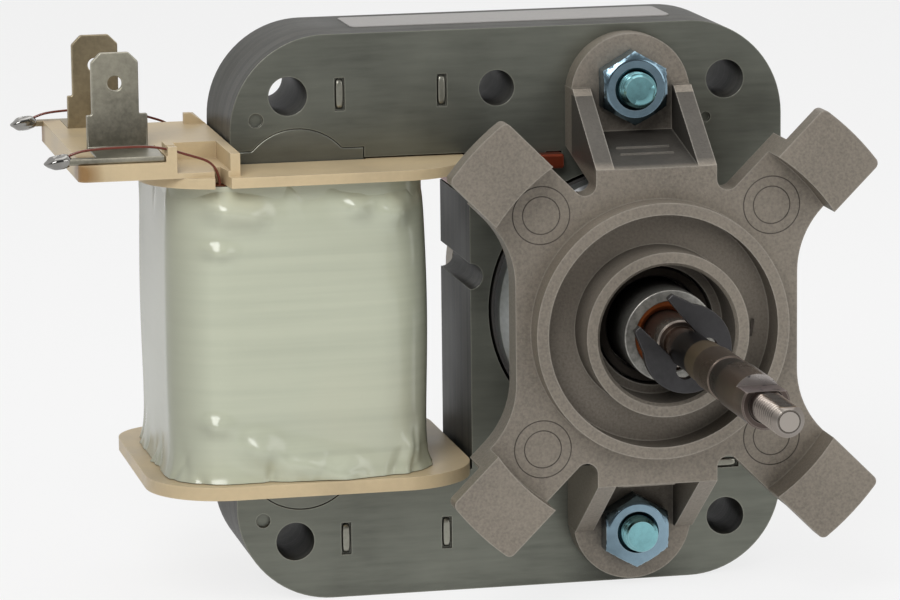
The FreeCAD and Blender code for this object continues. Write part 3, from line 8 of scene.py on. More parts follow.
import bmesh
import bpy
import numpy as np
from mathutils import Matrix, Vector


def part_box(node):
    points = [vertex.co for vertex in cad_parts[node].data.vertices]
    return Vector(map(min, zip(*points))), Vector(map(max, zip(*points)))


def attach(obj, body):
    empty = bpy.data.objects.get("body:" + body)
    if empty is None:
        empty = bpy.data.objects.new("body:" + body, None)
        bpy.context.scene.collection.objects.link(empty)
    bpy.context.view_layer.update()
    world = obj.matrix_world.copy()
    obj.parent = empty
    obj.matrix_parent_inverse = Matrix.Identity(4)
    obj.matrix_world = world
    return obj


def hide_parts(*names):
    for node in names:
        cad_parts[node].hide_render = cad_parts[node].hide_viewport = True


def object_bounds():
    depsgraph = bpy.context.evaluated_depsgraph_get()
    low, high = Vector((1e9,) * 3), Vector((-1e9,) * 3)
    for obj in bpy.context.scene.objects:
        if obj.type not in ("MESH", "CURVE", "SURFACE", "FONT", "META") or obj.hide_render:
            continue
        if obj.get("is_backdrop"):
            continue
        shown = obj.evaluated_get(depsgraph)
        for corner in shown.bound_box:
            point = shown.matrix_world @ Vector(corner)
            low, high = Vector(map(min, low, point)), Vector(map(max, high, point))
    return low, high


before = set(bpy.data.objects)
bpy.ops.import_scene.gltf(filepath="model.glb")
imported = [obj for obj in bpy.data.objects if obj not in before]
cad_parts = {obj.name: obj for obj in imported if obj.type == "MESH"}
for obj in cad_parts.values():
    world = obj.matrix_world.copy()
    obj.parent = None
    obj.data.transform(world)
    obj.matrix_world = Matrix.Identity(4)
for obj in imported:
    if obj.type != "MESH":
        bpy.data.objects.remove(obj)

logging.basicConfig(level=logging.INFO, format="%(message)s")
log = logging.getLogger("oven_fan_motor")

Array = np.ndarray
Pair = tuple[float, float]
Triple = tuple[float, float, float]
Linear = tuple[float, float, float, float]
Outline = list[Pair]
Shape = Callable[[Array, Array, Array], Array]
Piece = bpy.types.Object
Node = bpy.types.Node
Socket = bpy.types.NodeSocket
Sockets = Mapping[str, Socket]
Value = Socket | float | Sequence[float]

MM = 0.001
AXIS_X = 16.0 * MM
TAU = 2.0 * math.pi
FINISHED: dict[str, bpy.types.Material] = {}


class Ride(Enum):
    """The two rigid bodies that a piece can move with."""

    FRAME = "frame"
    ROTOR = "rotor"


def srgb(red: float, green: float, blue: float) -> Linear:
    """Turn a colour seen on a screen, 0 to 255, into linear light.

    Args:
        red: Red as seen.
        green: Green as seen.
        blue: Blue as seen.

    Returns:
        The linear colour with full opacity.
    """
    seen = np.array([red, green, blue]) / 255.0
    linear = np.where(seen <= 0.04045, seen / 12.92, ((seen + 0.055) / 1.055) ** 2.4)
    return (float(linear[0]), float(linear[1]), float(linear[2]), 1.0)


def grey(level: float) -> Linear:
    """Give a linear grey with full opacity."""
    return (level, level, level, 1.0)


class Wires:
    """Adds nodes to one node tree and joins them."""

    def __init__(self, tree: bpy.types.NodeTree) -> None:
        """Keep the tree that the nodes go into."""
        self.tree = tree

    @classmethod
    def fresh(cls, owner: bpy.types.Material | bpy.types.World) -> "Wires":
        """Open the emptied node tree of a new material or world.

        Args:
            owner: The material or world.

        Returns:
            The helper for its tree.
        """
        owner.use_nodes = True
        owner.node_tree.nodes.clear()
        return cls(owner.node_tree)

    def node(self, kind: str, inputs: dict | None = None, **settings: object) -> Node:
        """Add one node.

        Args:
            kind: Blender's type name without the ShaderNode in front.
            inputs: Values or sockets by input name or number.
            settings: Attributes of the node.

        Returns:
            The new node.
        """
        made = self.tree.nodes.new("ShaderNode" + kind)
        for name, value in settings.items():
            setattr(made, name, value)
        for name, value in (inputs or {}).items():
            self.feed(made.inputs[name], value)
        return made

    def feed(self, socket: Socket, value: Value) -> None:
        """Give a socket a value, or join another socket to it."""
        if isinstance(value, Socket):
            self.tree.links.new(value, socket)
        else:
            socket.default_value = value

    def math(self, operation: str, first: Value, second: Value = 0.0,
             clamp: bool = False) -> Socket:
        """Add a sum on two values and return its result."""
        made = self.node("Math", {0: first, 1: second}, operation=operation, use_clamp=clamp)
        return made.outputs[0]

    def plus(self, first: Value, second: Value, clamp: bool = False) -> Socket:
        """Add two values."""
        return self.math("ADD", first, second, clamp)

    def minus(self, first: Value, second: Value) -> Socket:
        """Take the second value from the first."""
        return self.math("SUBTRACT", first, second)

    def times(self, first: Value, second: Value, clamp: bool = False) -> Socket:
        """Multiply two values."""
        return self.math("MULTIPLY", first, second, clamp)

    def size(self, value: Value) -> Socket:
        """Give a value without its sign."""
        return self.math("ABSOLUTE", value)

    def less(self, first: Value, second: Value) -> Socket:
        """Give 1 where the first value is less than the second."""
        return self.math("LESS_THAN", first, second)

    def more(self, first: Value, second: Value) -> Socket:
        """Give 1 where the first value is more than the second."""
        return self.math("GREATER_THAN", first, second)

    def mix(self, share: Value, first: Value, second: Value) -> Socket:
        """Blend two colours and return the result."""
        made = self.node("Mix", {"Factor": share, "A": first, "B": second}, data_type="RGBA")
        return made.outputs["Result"]

    def ramp(self, value: Value, stops: Sequence[tuple[float, Linear]]) -> Socket:
        """Turn a value into a colour along a ramp.

        Args:
            value: The value, 0 to 1.
            stops: Place and colour of each stop, in order.

        Returns:
            The colour at the value.
        """
        made = self.node("ValToRGB", {"Fac": value})
        elements = made.color_ramp.elements
        while len(elements) < len(stops):
            elements.new(0.5)
        for element, (place, colour) in zip(elements, stops):
            element.position = place
            element.color = colour
        return made.outputs["Color"]

    def band(self, value: Value, low: Value, high: Value) -> Socket:
        """Rescale a value so that low gives 0 and high gives 1, held to that span."""
        made = self.node("MapRange", {"Value": value, "From Min": low, "From Max": high})
        return made.outputs["Result"]

    def noise(self, where: Value, scale: Value, detail: float, rough: float = 0.5) -> Socket:
        """Give a noise from 0 to 1 at a place."""
        made = self.node("TexNoise", {"Vector": where, "Scale": scale, "Detail": detail,
                                      "Roughness": rough})
        return made.outputs["Fac"]

    def place(self) -> Socket:
        """Give the place on the piece, in metres."""
        return self.node("TexCoord").outputs["Object"]

    def facing(self) -> tuple[Socket, ...]:
        """Give the x, y and z of the direction in which the surface faces."""
        return self.split(self.node("NewGeometry").outputs["Normal"])

    def split(self, vector: Socket) -> tuple[Socket, ...]:
        """Give the x, y and z of a vector."""
        return tuple(self.node("SeparateXYZ", {0: vector}).outputs)

    def seen(self) -> Socket:
        """Give 1 for the rays of the camera, of mirrors and of glass.

        Returns:
            The share, 0 or 1.
        """
        rays = self.node("LightPath").outputs
        through = self.math("MAXIMUM", rays["Is Glossy Ray"], rays["Is Transmission Ray"])
        return self.math("MAXIMUM", rays["Is Camera Ray"], through)


class Groups:
    """The shader node groups that several finishes share, each built once.

    FACES holds the first values of each group's inputs and the names of its outputs. The
    method that fills a group has its name with a line in front.
    """

    FACES: dict[str, tuple[dict[str, Value], tuple[str, ...]]] = {
        "edge_wear": ({"Radius": 0.0006, "Gain": 4.0, "Breakup": 0.5}, ("Wear",)),
        "grain": ({"Scale": 1500.0, "Patch Scale": 60.0, "Stretch": (1.0, 1.0, 1.0)},
                  ("Height", "Patch")),
        "dust": ({"Amount": 0.3}, ("Mask",)),
        "cavity": ({"Reach": 0.004, "Low": 0.3}, ("Mask",)),
        "sheet_edges": ({"Pitch": 0.0005, "Seam": 0.3}, ("Seams", "Tone", "Side"))}
    _made: dict[str, bpy.types.NodeTree] = {}

    @classmethod
    def get(cls, name: str) -> bpy.types.NodeTree:
        """Return a shared group by name, and build it the first time.

        Args:
            name: A name in FACES.

        Returns:
            The group.
        """
        if name in cls._made:
            return cls._made[name]
        tree = cls._made[name] = bpy.data.node_groups.new(name, "ShaderNodeTree")
        inputs, outputs = cls.FACES[name]
        for label, value in inputs.items():
            kind = "NodeSocketVector" if isinstance(value, tuple) else "NodeSocketFloat"
            socket = tree.interface.new_socket(label, in_out="INPUT", socket_type=kind)
            socket.default_value = value
        for label in outputs:
            tree.interface.new_socket(label, in_out="OUTPUT", socket_type="NodeSocketFloat")
        wires = Wires(tree)
        inside, outside = (tree.nodes.new("NodeGroup" + side) for side in ("Input", "Output"))
        results = getattr(cls, "_" + name)(wires, inside.outputs)
        for label, result in zip(outputs, results):
            wires.feed(outside.inputs[label], result)
        return tree

    @staticmethod
    def _edge_wear(wires: Wires, taken: Sockets) -> list[Socket]:
        """Edges: how far a rounded normal leans away from the real one.

        Args:
            wires: Helper for the group's tree.
            taken: The group's input sockets.

        Returns:
            A socket for each output.
        """
        rounded = wires.node("Bevel", {"Radius": taken["Radius"]}, samples=6)
        flat = wires.node("NewGeometry")
        dot = wires.node("VectorMath", {0: rounded.outputs[0], 1: flat.outputs["Normal"]},
                         operation="DOT_PRODUCT")
        gained = wires.times(wires.minus(1.0, dot.outputs["Value"]), taken["Gain"], True)
        broken = wires.times(wires.noise(wires.place(), 900.0, 4.0), taken["Breakup"])
        return [wires.times(gained, wires.minus(1.0, broken), True)]

    @staticmethod
    def _grain(wires: Wires, taken: Sockets) -> list[Socket]:
        """Grain: a fine sandy height and coarse patches from two noises.

        Args:
            wires: Helper for the group's tree.
            taken: The group's input sockets.

        Returns:
            A socket for each output.
        """
        where = wires.place()
        scaled = wires.node("VectorMath", {0: where, 1: taken["Stretch"]}, operation="MULTIPLY")
        fine = wires.noise(scaled.outputs[0], taken["Scale"], 3.0, 0.6)
        return [fine, wires.band(wires.noise(where, taken["Patch Scale"], 4.0), 0.3, 0.7)]

    @staticmethod
    def _dust(wires: Wires, taken: Sockets) -> list[Socket]:
        """Dust: a patchy veil on faces that look up.

        Args:
            wires: Helper for the group's tree.
            taken: The group's input sockets.

        Returns:
            A socket for each output.
        """
        up = wires.band(wires.facing()[2], 0.2, 0.95)
        cloud = wires.band(wires.noise(wires.place(), 260.0, 6.0, 0.7), 0.38, 0.68)
        return [wires.times(wires.times(up, cloud), taken["Amount"])]

    @staticmethod
    def _cavity(wires: Wires, taken: Sockets) -> list[Socket]:
        """Cavity: how shut in a spot is, for painted shade and grime in corners and hollows."""
        shut = wires.node("AmbientOcclusion", {"Distance": taken["Reach"]}, samples=8)
        return [wires.band(wires.minus(1.0, shut.outputs["AO"]), taken["Low"], 0.95)]

    @staticmethod
    def _sheet_edges(wires: Wires, taken: Sockets) -> list[Socket]:
        """Sheet edges: thin dark seams along the depth of a stack, and a tone to each sheet.

        The tone is the mean of one draw per sheet and one draw per three sheets.

        Args:
            wires: Helper for the group's tree.
            taken: The group's input sockets.

        Returns:
            A socket for each output.
        """
        depth = wires.split(wires.place())[1]
        shifted = wires.plus(wires.math("DIVIDE", depth, taken["Pitch"]), 0.5)
        apart = wires.size(wires.minus(wires.math("FRACT", shifted), 0.5))
        seam = wires.less(wires.minus(0.5, apart), wires.times(taken["Seam"], 0.5))
        side = wires.less(wires.size(wires.facing()[1]), 0.5)
        number = wires.math("FLOOR", shifted)
        batch = wires.math("FLOOR", wires.math("DIVIDE", number, 3.0))
        own, shared = (wires.node("TexWhiteNoise", {"W": index}, noise_dimensions="1D")
                       for index in (number, batch))
        mean = wires.times(wires.plus(own.outputs["Value"], shared.outputs["Value"]), 0.5)
        return [wires.times(seam, side), wires.times(mean, side), side]


@dataclass(frozen=True)
class Finish:
    """A surface finish: its own look and the marks of use on it. Lengths are in millimetres.

    Darkening of corners and hollows by ambient occlusion is painted shade, with some real grime.
    The rough_ fields say how much rougher patches, grime and dust make it.
    """

    name: str
    colour: Triple
    roughness: float = 0.5
    metallic: float = 0.0
    wear: float = 0.0
    wear_radius: float = 0.5
    worn_colour: Triple = (200, 200, 200)
    grain: float = 0.0
    grain_scale: float = 1500.0
    patches: float = 0.1
    bump: float = 0.2
    bump_depth: float = 0.05
    dust: float = 0.0
    dust_colour: Triple = (196, 190, 178)
    coat: float = 0.0
    coat_roughness: float = 0.12
    grime_and_shade: float = 0.0
    shade_reach: float = 4.0
    shade_low: float = 0.3
    grime_shade_colour: Triple = (34, 31, 28)
    stretch: Triple = (1.0, 1.0, 1.0)
    rough_patches: float = 0.12
    rough_grime: float = 0.25
    rough_dust: float = 0.3
    specular: float = 0.5

    def material(self) -> bpy.types.Material:
        """Build the material of this finish the first time.

        Returns:
            The material.
        """
        if self.name not in FINISHED:
            made = FINISHED[self.name] = bpy.data.materials.new(self.name)
            wires = Wires.fresh(made)
            shader = wires.node("BsdfPrincipled", {
                "Metallic": self.metal(wires), "Specular IOR Level": self.shine(wires),
                "Coat Weight": self.coat, "Coat Roughness": self.coat_roughness})
            wires.node("OutputMaterial", {"Surface": shader.outputs["BSDF"]})
            self.paint(wires, shader)
        return FINISHED[self.name]

    def metal(self, wires: Wires) -> Value:
        """Give the share of metal, one value or a socket."""
        return self.metallic

    def shine(self, wires: Wires) -> Value:
        """Give the strength of the plain reflection, one value or a socket."""
        return self.specular

    def shaded(self, factor: float) -> Linear:
        """Give the finish's colour times a factor, as linear light."""
        return srgb(*(min(255.0, value * factor) for value in self.colour))

    def paint(self, wires: Wires, shader: Node) -> None:
        """Wire colour, roughness and bump into the shader.

        Args:
            wires: Helper for this material's tree.
            shader: The shader that takes them.
        """
        grain = self._group(wires, "grain", Scale=self.grain_scale, Stretch=self.stretch)
        base = self.tint(wires, grain)
        uneven = wires.times(wires.minus(grain["Patch"], 0.5), self.rough_patches)
        rough = wires.plus(self.roughness, uneven)
        # Ambient occlusion darkens corners and hollows: painted shade, with some real grime.
        if self.grime_and_shade:
            shut = self._group(wires, "cavity", Reach=self.shade_reach * MM, Low=self.shade_low)
            shade_and_dirt = wires.times(shut["Mask"], self.grime_and_shade, True)
            base = wires.mix(shade_and_dirt, base, srgb(*self.grime_shade_colour))
            rough = wires.plus(rough, wires.times(shade_and_dirt, self.rough_grime))
        if self.wear:
            edge = self._group(wires, "edge_wear", Radius=self.wear_radius * MM,
                               Gain=3.0 + 9.0 * self.wear)
            share = wires.times(edge["Wear"], self.wear, True)
            base = wires.mix(share, base, srgb(*self.worn_colour))
        if self.dust:
            veil = self._group(wires, "dust", Amount=self.dust)["Mask"]
            base = wires.mix(veil, base, srgb(*self.dust_colour))
            rough = wires.plus(rough, wires.times(veil, self.rough_dust))
        bump = wires.node("Bump", {"Strength": self.bump, "Distance": self.bump_depth * MM,
                                   "Height": self.height(wires, grain)})
        for name, value in (("Base Color", base), ("Roughness", rough),
                            ("Normal", bump.outputs["Normal"])):
            wires.feed(shader.inputs[name], value)

    def tint(self, wires: Wires, grain: Sockets) -> Socket:
        """Give the base colour with its fine grain and broad patches.

        Args:
            wires: Helper for this material's tree.
            grain: Outputs of the grain group.

        Returns:
            The colour.
        """
        fine = wires.times(wires.minus(grain["Height"], 0.5), self.grain * 4.0)
        broad = wires.times(wires.minus(grain["Patch"], 0.5), self.patches * 4.0)
        share = wires.plus(wires.plus(fine, broad), 0.5, True)
        return wires.ramp(share, [(0.0, self.shaded(0.8)), (0.5, self.shaded(1.0)),
                                  (1.0, self.shaded(1.13))])

    def height(self, wires: Wires, grain: Sockets) -> Socket:
        """Give the height that the bump reads."""
        return grain["Height"]

    def _group(self, wires: Wires, name: str, **values: Value) -> Sockets:
        """Place a shared group with this finish's own values and give its outputs."""
        return wires.node("Group", values, node_tree=Groups.get(name)).outputs


@dataclass(frozen=True)
class StackFinish(Finish):
    """Pressed steel sheets: brushed faces and seams between the sheets on the sides.

    The side_ fields are the tones of the rough sheet edges, darkened further as painted shade
    for the shaded sides of the stack, and the shares of metal and of reflection that they lose.
    """

    pitch: float = 0.5
    seam: float = 0.2
    seam_share: float = 0.4
    sheet_edge_shade_tones: tuple[Triple, ...] = ((34, 33, 30), (50, 49, 45), (66, 64, 59))
    side_brushed: float = 0.12
    side_metal: float = 0.95
    side_shine: float = 0.42

    def _edges(self, wires: Wires) -> Sockets:
        """Find the sheet edges."""
        return self._group(wires, "sheet_edges", Pitch=self.pitch * MM, Seam=self.seam)

    def metal(self, wires: Wires) -> Socket:
        """Give metal on the faces and much less of it on the rough sheet edges."""
        dull = wires.times(self._edges(wires)["Side"], self.metallic * self.side_metal)
        return wires.minus(self.metallic, dull)

    def shine(self, wires: Wires) -> Socket:
        """Give little reflection on the rough sheet edges."""
        dull = wires.times(self._edges(wires)["Side"], self.side_shine)
        return wires.minus(self.specular, dull)

    def tint(self, wires: Wires, grain: Sockets) -> Socket:
        """Give the brushed colour on the faces and, on the sides, a tone for each sheet darkened
        as painted shade.

        Args:
            wires: Helper for this material's tree.
            grain: Outputs of the grain group.

        Returns:
            The colour.
        """
        base = Finish.tint(self, wires, grain)
        edges = self._edges(wires)
        # The sheet-edge tones are the edges' own rough colour, darkened further as painted
        # shade.
        low, middle, high = (srgb(*tone) for tone in self.sheet_edge_shade_tones)
        sheets = wires.ramp(edges["Tone"], [(0.1, low), (0.5, middle), (0.9, high)])
        sheets = wires.mix(self.side_brushed, sheets, base)
        toned = wires.mix(edges["Side"], base, sheets)
        return wires.mix(wires.times(edges["Seams"], self.seam_share), toned, low)

    def height(self, wires: Wires, grain: Sockets) -> Socket:
        """Lower the seams below the brushed grain."""
        return wires.minus(grain["Height"], self._edges(wires)["Seams"])


@dataclass(frozen=True)
class TapeFinish(Finish):
    """Glossy pale tape with the rows of wire showing faintly through it, and painted shade on
    the side that faces the terminal end.

    Lines and rows are the scales of their noises, much finer along z.
    """

    lines: Triple = (22.0, 22.0, 700.0)
    rows: Triple = (9.0, 9.0, 260.0)
    warm_colour: Triple = (200, 196, 172)
    end_side_shade_colour: Triple = (156, 158, 141)
    end_side_shade_share: float = 0.85
    end_shine: float = 0.4

    def _end(self, wires: Wires) -> Socket:
        """Give the share in which the surface faces the terminal end of the motor."""
        facing = wires.split(wires.node("TexCoord").outputs["Normal"])[0]
        return wires.minus(1.0, wires.band(facing, -0.95, -0.35))

    def shine(self, wires: Wires) -> Socket:
        """Give less reflection on the side of the coil that faces the terminal end."""
        return wires.minus(self.specular, wires.times(self._end(wires), self.end_shine))

    def tint(self, wires: Wires, grain: Sockets) -> Socket:
        """Give the pale colour with faint level lines, a few darker wires, warmer patches and
        painted shade on the side that faces the terminal end.

        Args:
            wires: Helper for this material's tree.
            grain: Outputs of the grain group.

        Returns:
            The colour.
        """
        where = wires.place()
        fine, wide = (wires.node("Mapping", {"Vector": where, "Scale": scale}).outputs["Vector"]
                      for scale in (self.lines, self.rows))
        lines = wires.band(wires.noise(fine, 1.0, 3.0), 0.4, 0.8)
        base = wires.mix(lines, self.shaded(1.0), self.shaded(0.95))
        rows = wires.band(wires.noise(wide, 1.0, 1.0), 0.66, 0.74)
        base = wires.mix(wires.times(rows, 0.35), base, self.shaded(0.78))
        warm = wires.band(wires.noise(where, 40.0, 2.0), 0.45, 0.7)
        base = wires.mix(wires.times(warm, 0.4), base, srgb(*self.warm_colour))
        # Painted shade on the side that faces the terminal end.
        return wires.mix(wires.times(self._end(wires), self.end_side_shade_share), base,
                         srgb(*self.end_side_shade_colour))


@dataclass(frozen=True)
class CastFinish(Finish):
    """Grey casting with painted shade in the recess of its upper foot and on the front of its
    ribs.

    The recess is (half width, top), the ribs (half width, top, back), and the painted shade
    fades in over the first span below in z and over the second in y.
    """

    recess: Pair = (5.8, 24.25)
    ribs: Triple = (8.35, 29.5, -3.7)
    shade_up: Pair = (20.6, 21.6)
    shade_back: Pair = (-17.2, -16.0)
    recess_shade_colour: Triple = (62, 60, 57)
    recess_shade_share: float = 0.8

    def tint(self, wires: Wires, grain: Sockets) -> Socket:
        """Give the cast colour, with painted shade on the ribs of the upper foot and between
        them.

        Args:
            wires: Helper for this material's tree.
            grain: Outputs of the grain group.

        Returns:
            The colour.
        """
        x, y, z = wires.split(wires.place())
        across = wires.size(wires.minus(x, AXIS_X))
        inside, front = (wires.times(wires.less(across, half * MM), wires.less(z, top * MM))
                         for half, top in (self.recess, self.ribs[:2]))
        front = wires.times(front, wires.less(y, self.ribs[2] * MM))
        above = wires.times(wires.band(z, *(edge * MM for edge in self.shade_up)),
                            wires.band(y, *(edge * MM for edge in self.shade_back)))
        # Painted shade where the upper foot's recess and rib fronts lie.
        in_shade = wires.times(wires.math("MAXIMUM", inside, front), above)
        return wires.mix(wires.times(in_shade, self.recess_shade_share), Finish.tint(self, wires, grain),
                         srgb(*self.recess_shade_colour))


@dataclass(frozen=True)
class MouldedFinish(Finish):
    """Cream plastic, scorched brown where the solder was made."""

    scorched: tuple[Triple, ...] = ((-59.6, -8.9, 22.6), (-59.6, 27.4, 22.6))
    scorch_fade: Pair = (2.0, 4.4)
    scorch_blur: float = 1.6
    scorch_share: float = 0.9
    scorch_colour: Triple = (132, 96, 48)

    def tint(self, wires: Wires, grain: Sockets) -> Socket:
        """Give the cream colour with a brown stain near each joint.

        Args:
            wires: Helper for this material's tree.
            grain: Outputs of the grain group.

        Returns:
            The colour.
        """
        base = Finish.tint(self, wires, grain)
        where = wires.place()
        low, high = (edge * MM for edge in self.scorch_fade)
        for spot in self.scorched:
            away = wires.node("VectorMath", {0: where, 1: [value * MM for value in spot]},
                              operation="DISTANCE")
            blur = wires.times(grain["Patch"], self.scorch_blur * MM)
            ring = wires.band(wires.plus(away.outputs["Value"], blur), low, high)
            stain = wires.times(wires.minus(1.0, ring), self.scorch_share)
            base = wires.mix(stain, base, srgb(*self.scorch_colour))
        return base


@dataclass(frozen=True)
class ShaftFinish(Finish):
    """Turned and heat-tinted steel: each stretch of the shaft has its own tone.

    The tones are (y, colour). The flat is above flat_z and in front of flat_y, and its
    ground has tones of its own. Groove is the fade of the painted shade in the thread, from its
    root to its crest.
    """

    span: Pair = (-80.0, 42.0)
    # The dark stops from -57.3 to -53.6 are the relief groove: its blued floor, darkened further
    # as painted shade.
    tones: tuple[tuple[float, Triple], ...] = (
        (-80.0, (176, 172, 166)), (-79.6, (150, 142, 134)), (-71.2, (140, 130, 122)),
        (-70.9, (70, 62, 58)), (-70.0, (104, 92, 86)), (-66.0, (128, 110, 100)),
        (-65.4, (116, 98, 86)), (-58.0, (92, 80, 72)), (-57.3, (50, 45, 43)),
        (-53.6, (52, 46, 44)), (-53.2, (104, 90, 80)), (-46.6, (112, 98, 86)),
        (-46.0, (150, 134, 108)), (-41.4, (140, 122, 96)), (-40.8, (34, 31, 30)),
        (-34.0, (38, 33, 31)), (-33.2, (84, 56, 38)), (-29.6, (92, 62, 42)),
        (-29.2, (150, 144, 136)), (42.0, (150, 146, 140)))
    ground: tuple[tuple[float, Triple], ...] = (
        (-80.0, (104, 84, 60)), (-70.6, (120, 98, 78)), (-69.6, (146, 132, 130)),
        (42.0, (146, 132, 130)))
    mottle: Triple = (52, 47, 50)
    cut_colour: Triple = (206, 200, 196)
    speck_colour: Triple = (40, 32, 48)
    thread_root_shade_colour: Triple = (30, 28, 28)
    flat_z: float = 1.66
    flat_y: Pair = (-65.57, -65.63)
    thread: Pair = (-79.0, -70.9)
    groove: Pair = (1.78, 2.0)
    tip_y: float = -79.3
    tip_rings: tuple[tuple[float, Triple], ...] = ((1.46, (84, 78, 72)), (1.24, (186, 178, 170)))

    def _along(self, wires: Wires, y: Socket, tones: Sequence) -> Socket:
        """Give the tone at a place along the shaft.

        Args:
            wires: Helper for this material's tree.
            y: The place, in metres.
            tones: Place in millimetres and colour of each stop.

        Returns:
            The tone.
        """
        start, end = self.span
        stops = [((at - start) / (end - start), srgb(*colour)) for at, colour in tones]
        return wires.ramp(wires.band(y, start * MM, end * MM), stops)

    def tint(self, wires: Wires, grain: Sockets) -> Socket:
        """Give the colour by the place along the shaft, with its flat, its tip and painted shade
        in the thread's roots.

        Args:
            wires: Helper for this material's tree.
            grain: Outputs of the grain group.

        Returns:
            The colour.
        """
        where = wires.place()
        x, y, z = wires.split(where)
        toned = wires.mix(wires.times(grain["Patch"], 0.3), self._along(wires, y, self.tones),
                          srgb(*self.mottle))
        high = wires.more(z, self.flat_z * MM)
        cut, floor = (wires.times(high, wires.less(y, edge * MM)) for edge in self.flat_y)
        toned = wires.mix(cut, toned, srgb(*self.cut_colour))
        toned = wires.mix(floor, toned, self._along(wires, y, self.ground))
        dots = wires.times(wires.band(wires.noise(where, 1100.0, 2.0), 0.6, 0.66), cut)
        toned = wires.mix(wires.times(dots, 0.8), toned, srgb(*self.speck_colour))
        # Painted shade in the roots of the thread.
        across = wires.minus(x, AXIS_X)
        squares = wires.plus(wires.times(across, across), wires.times(z, z))
        away = wires.math("SQRT", squares)
        root, crest = self.groove
        depth = wires.minus(1.0, wires.band(away, root * MM, crest * MM))
        thread = wires.times(wires.less(y, self.thread[1] * MM),
                             wires.more(y, self.thread[0] * MM))
        toned = wires.mix(wires.times(wires.times(depth, thread), 0.9), toned,
                          srgb(*self.thread_root_shade_colour))
        end = wires.less(y, self.tip_y * MM)
        for reach, colour in self.tip_rings:
            ring = wires.times(end, wires.less(away, reach * MM))
            toned = wires.mix(ring, toned, srgb(*colour))
        return toned


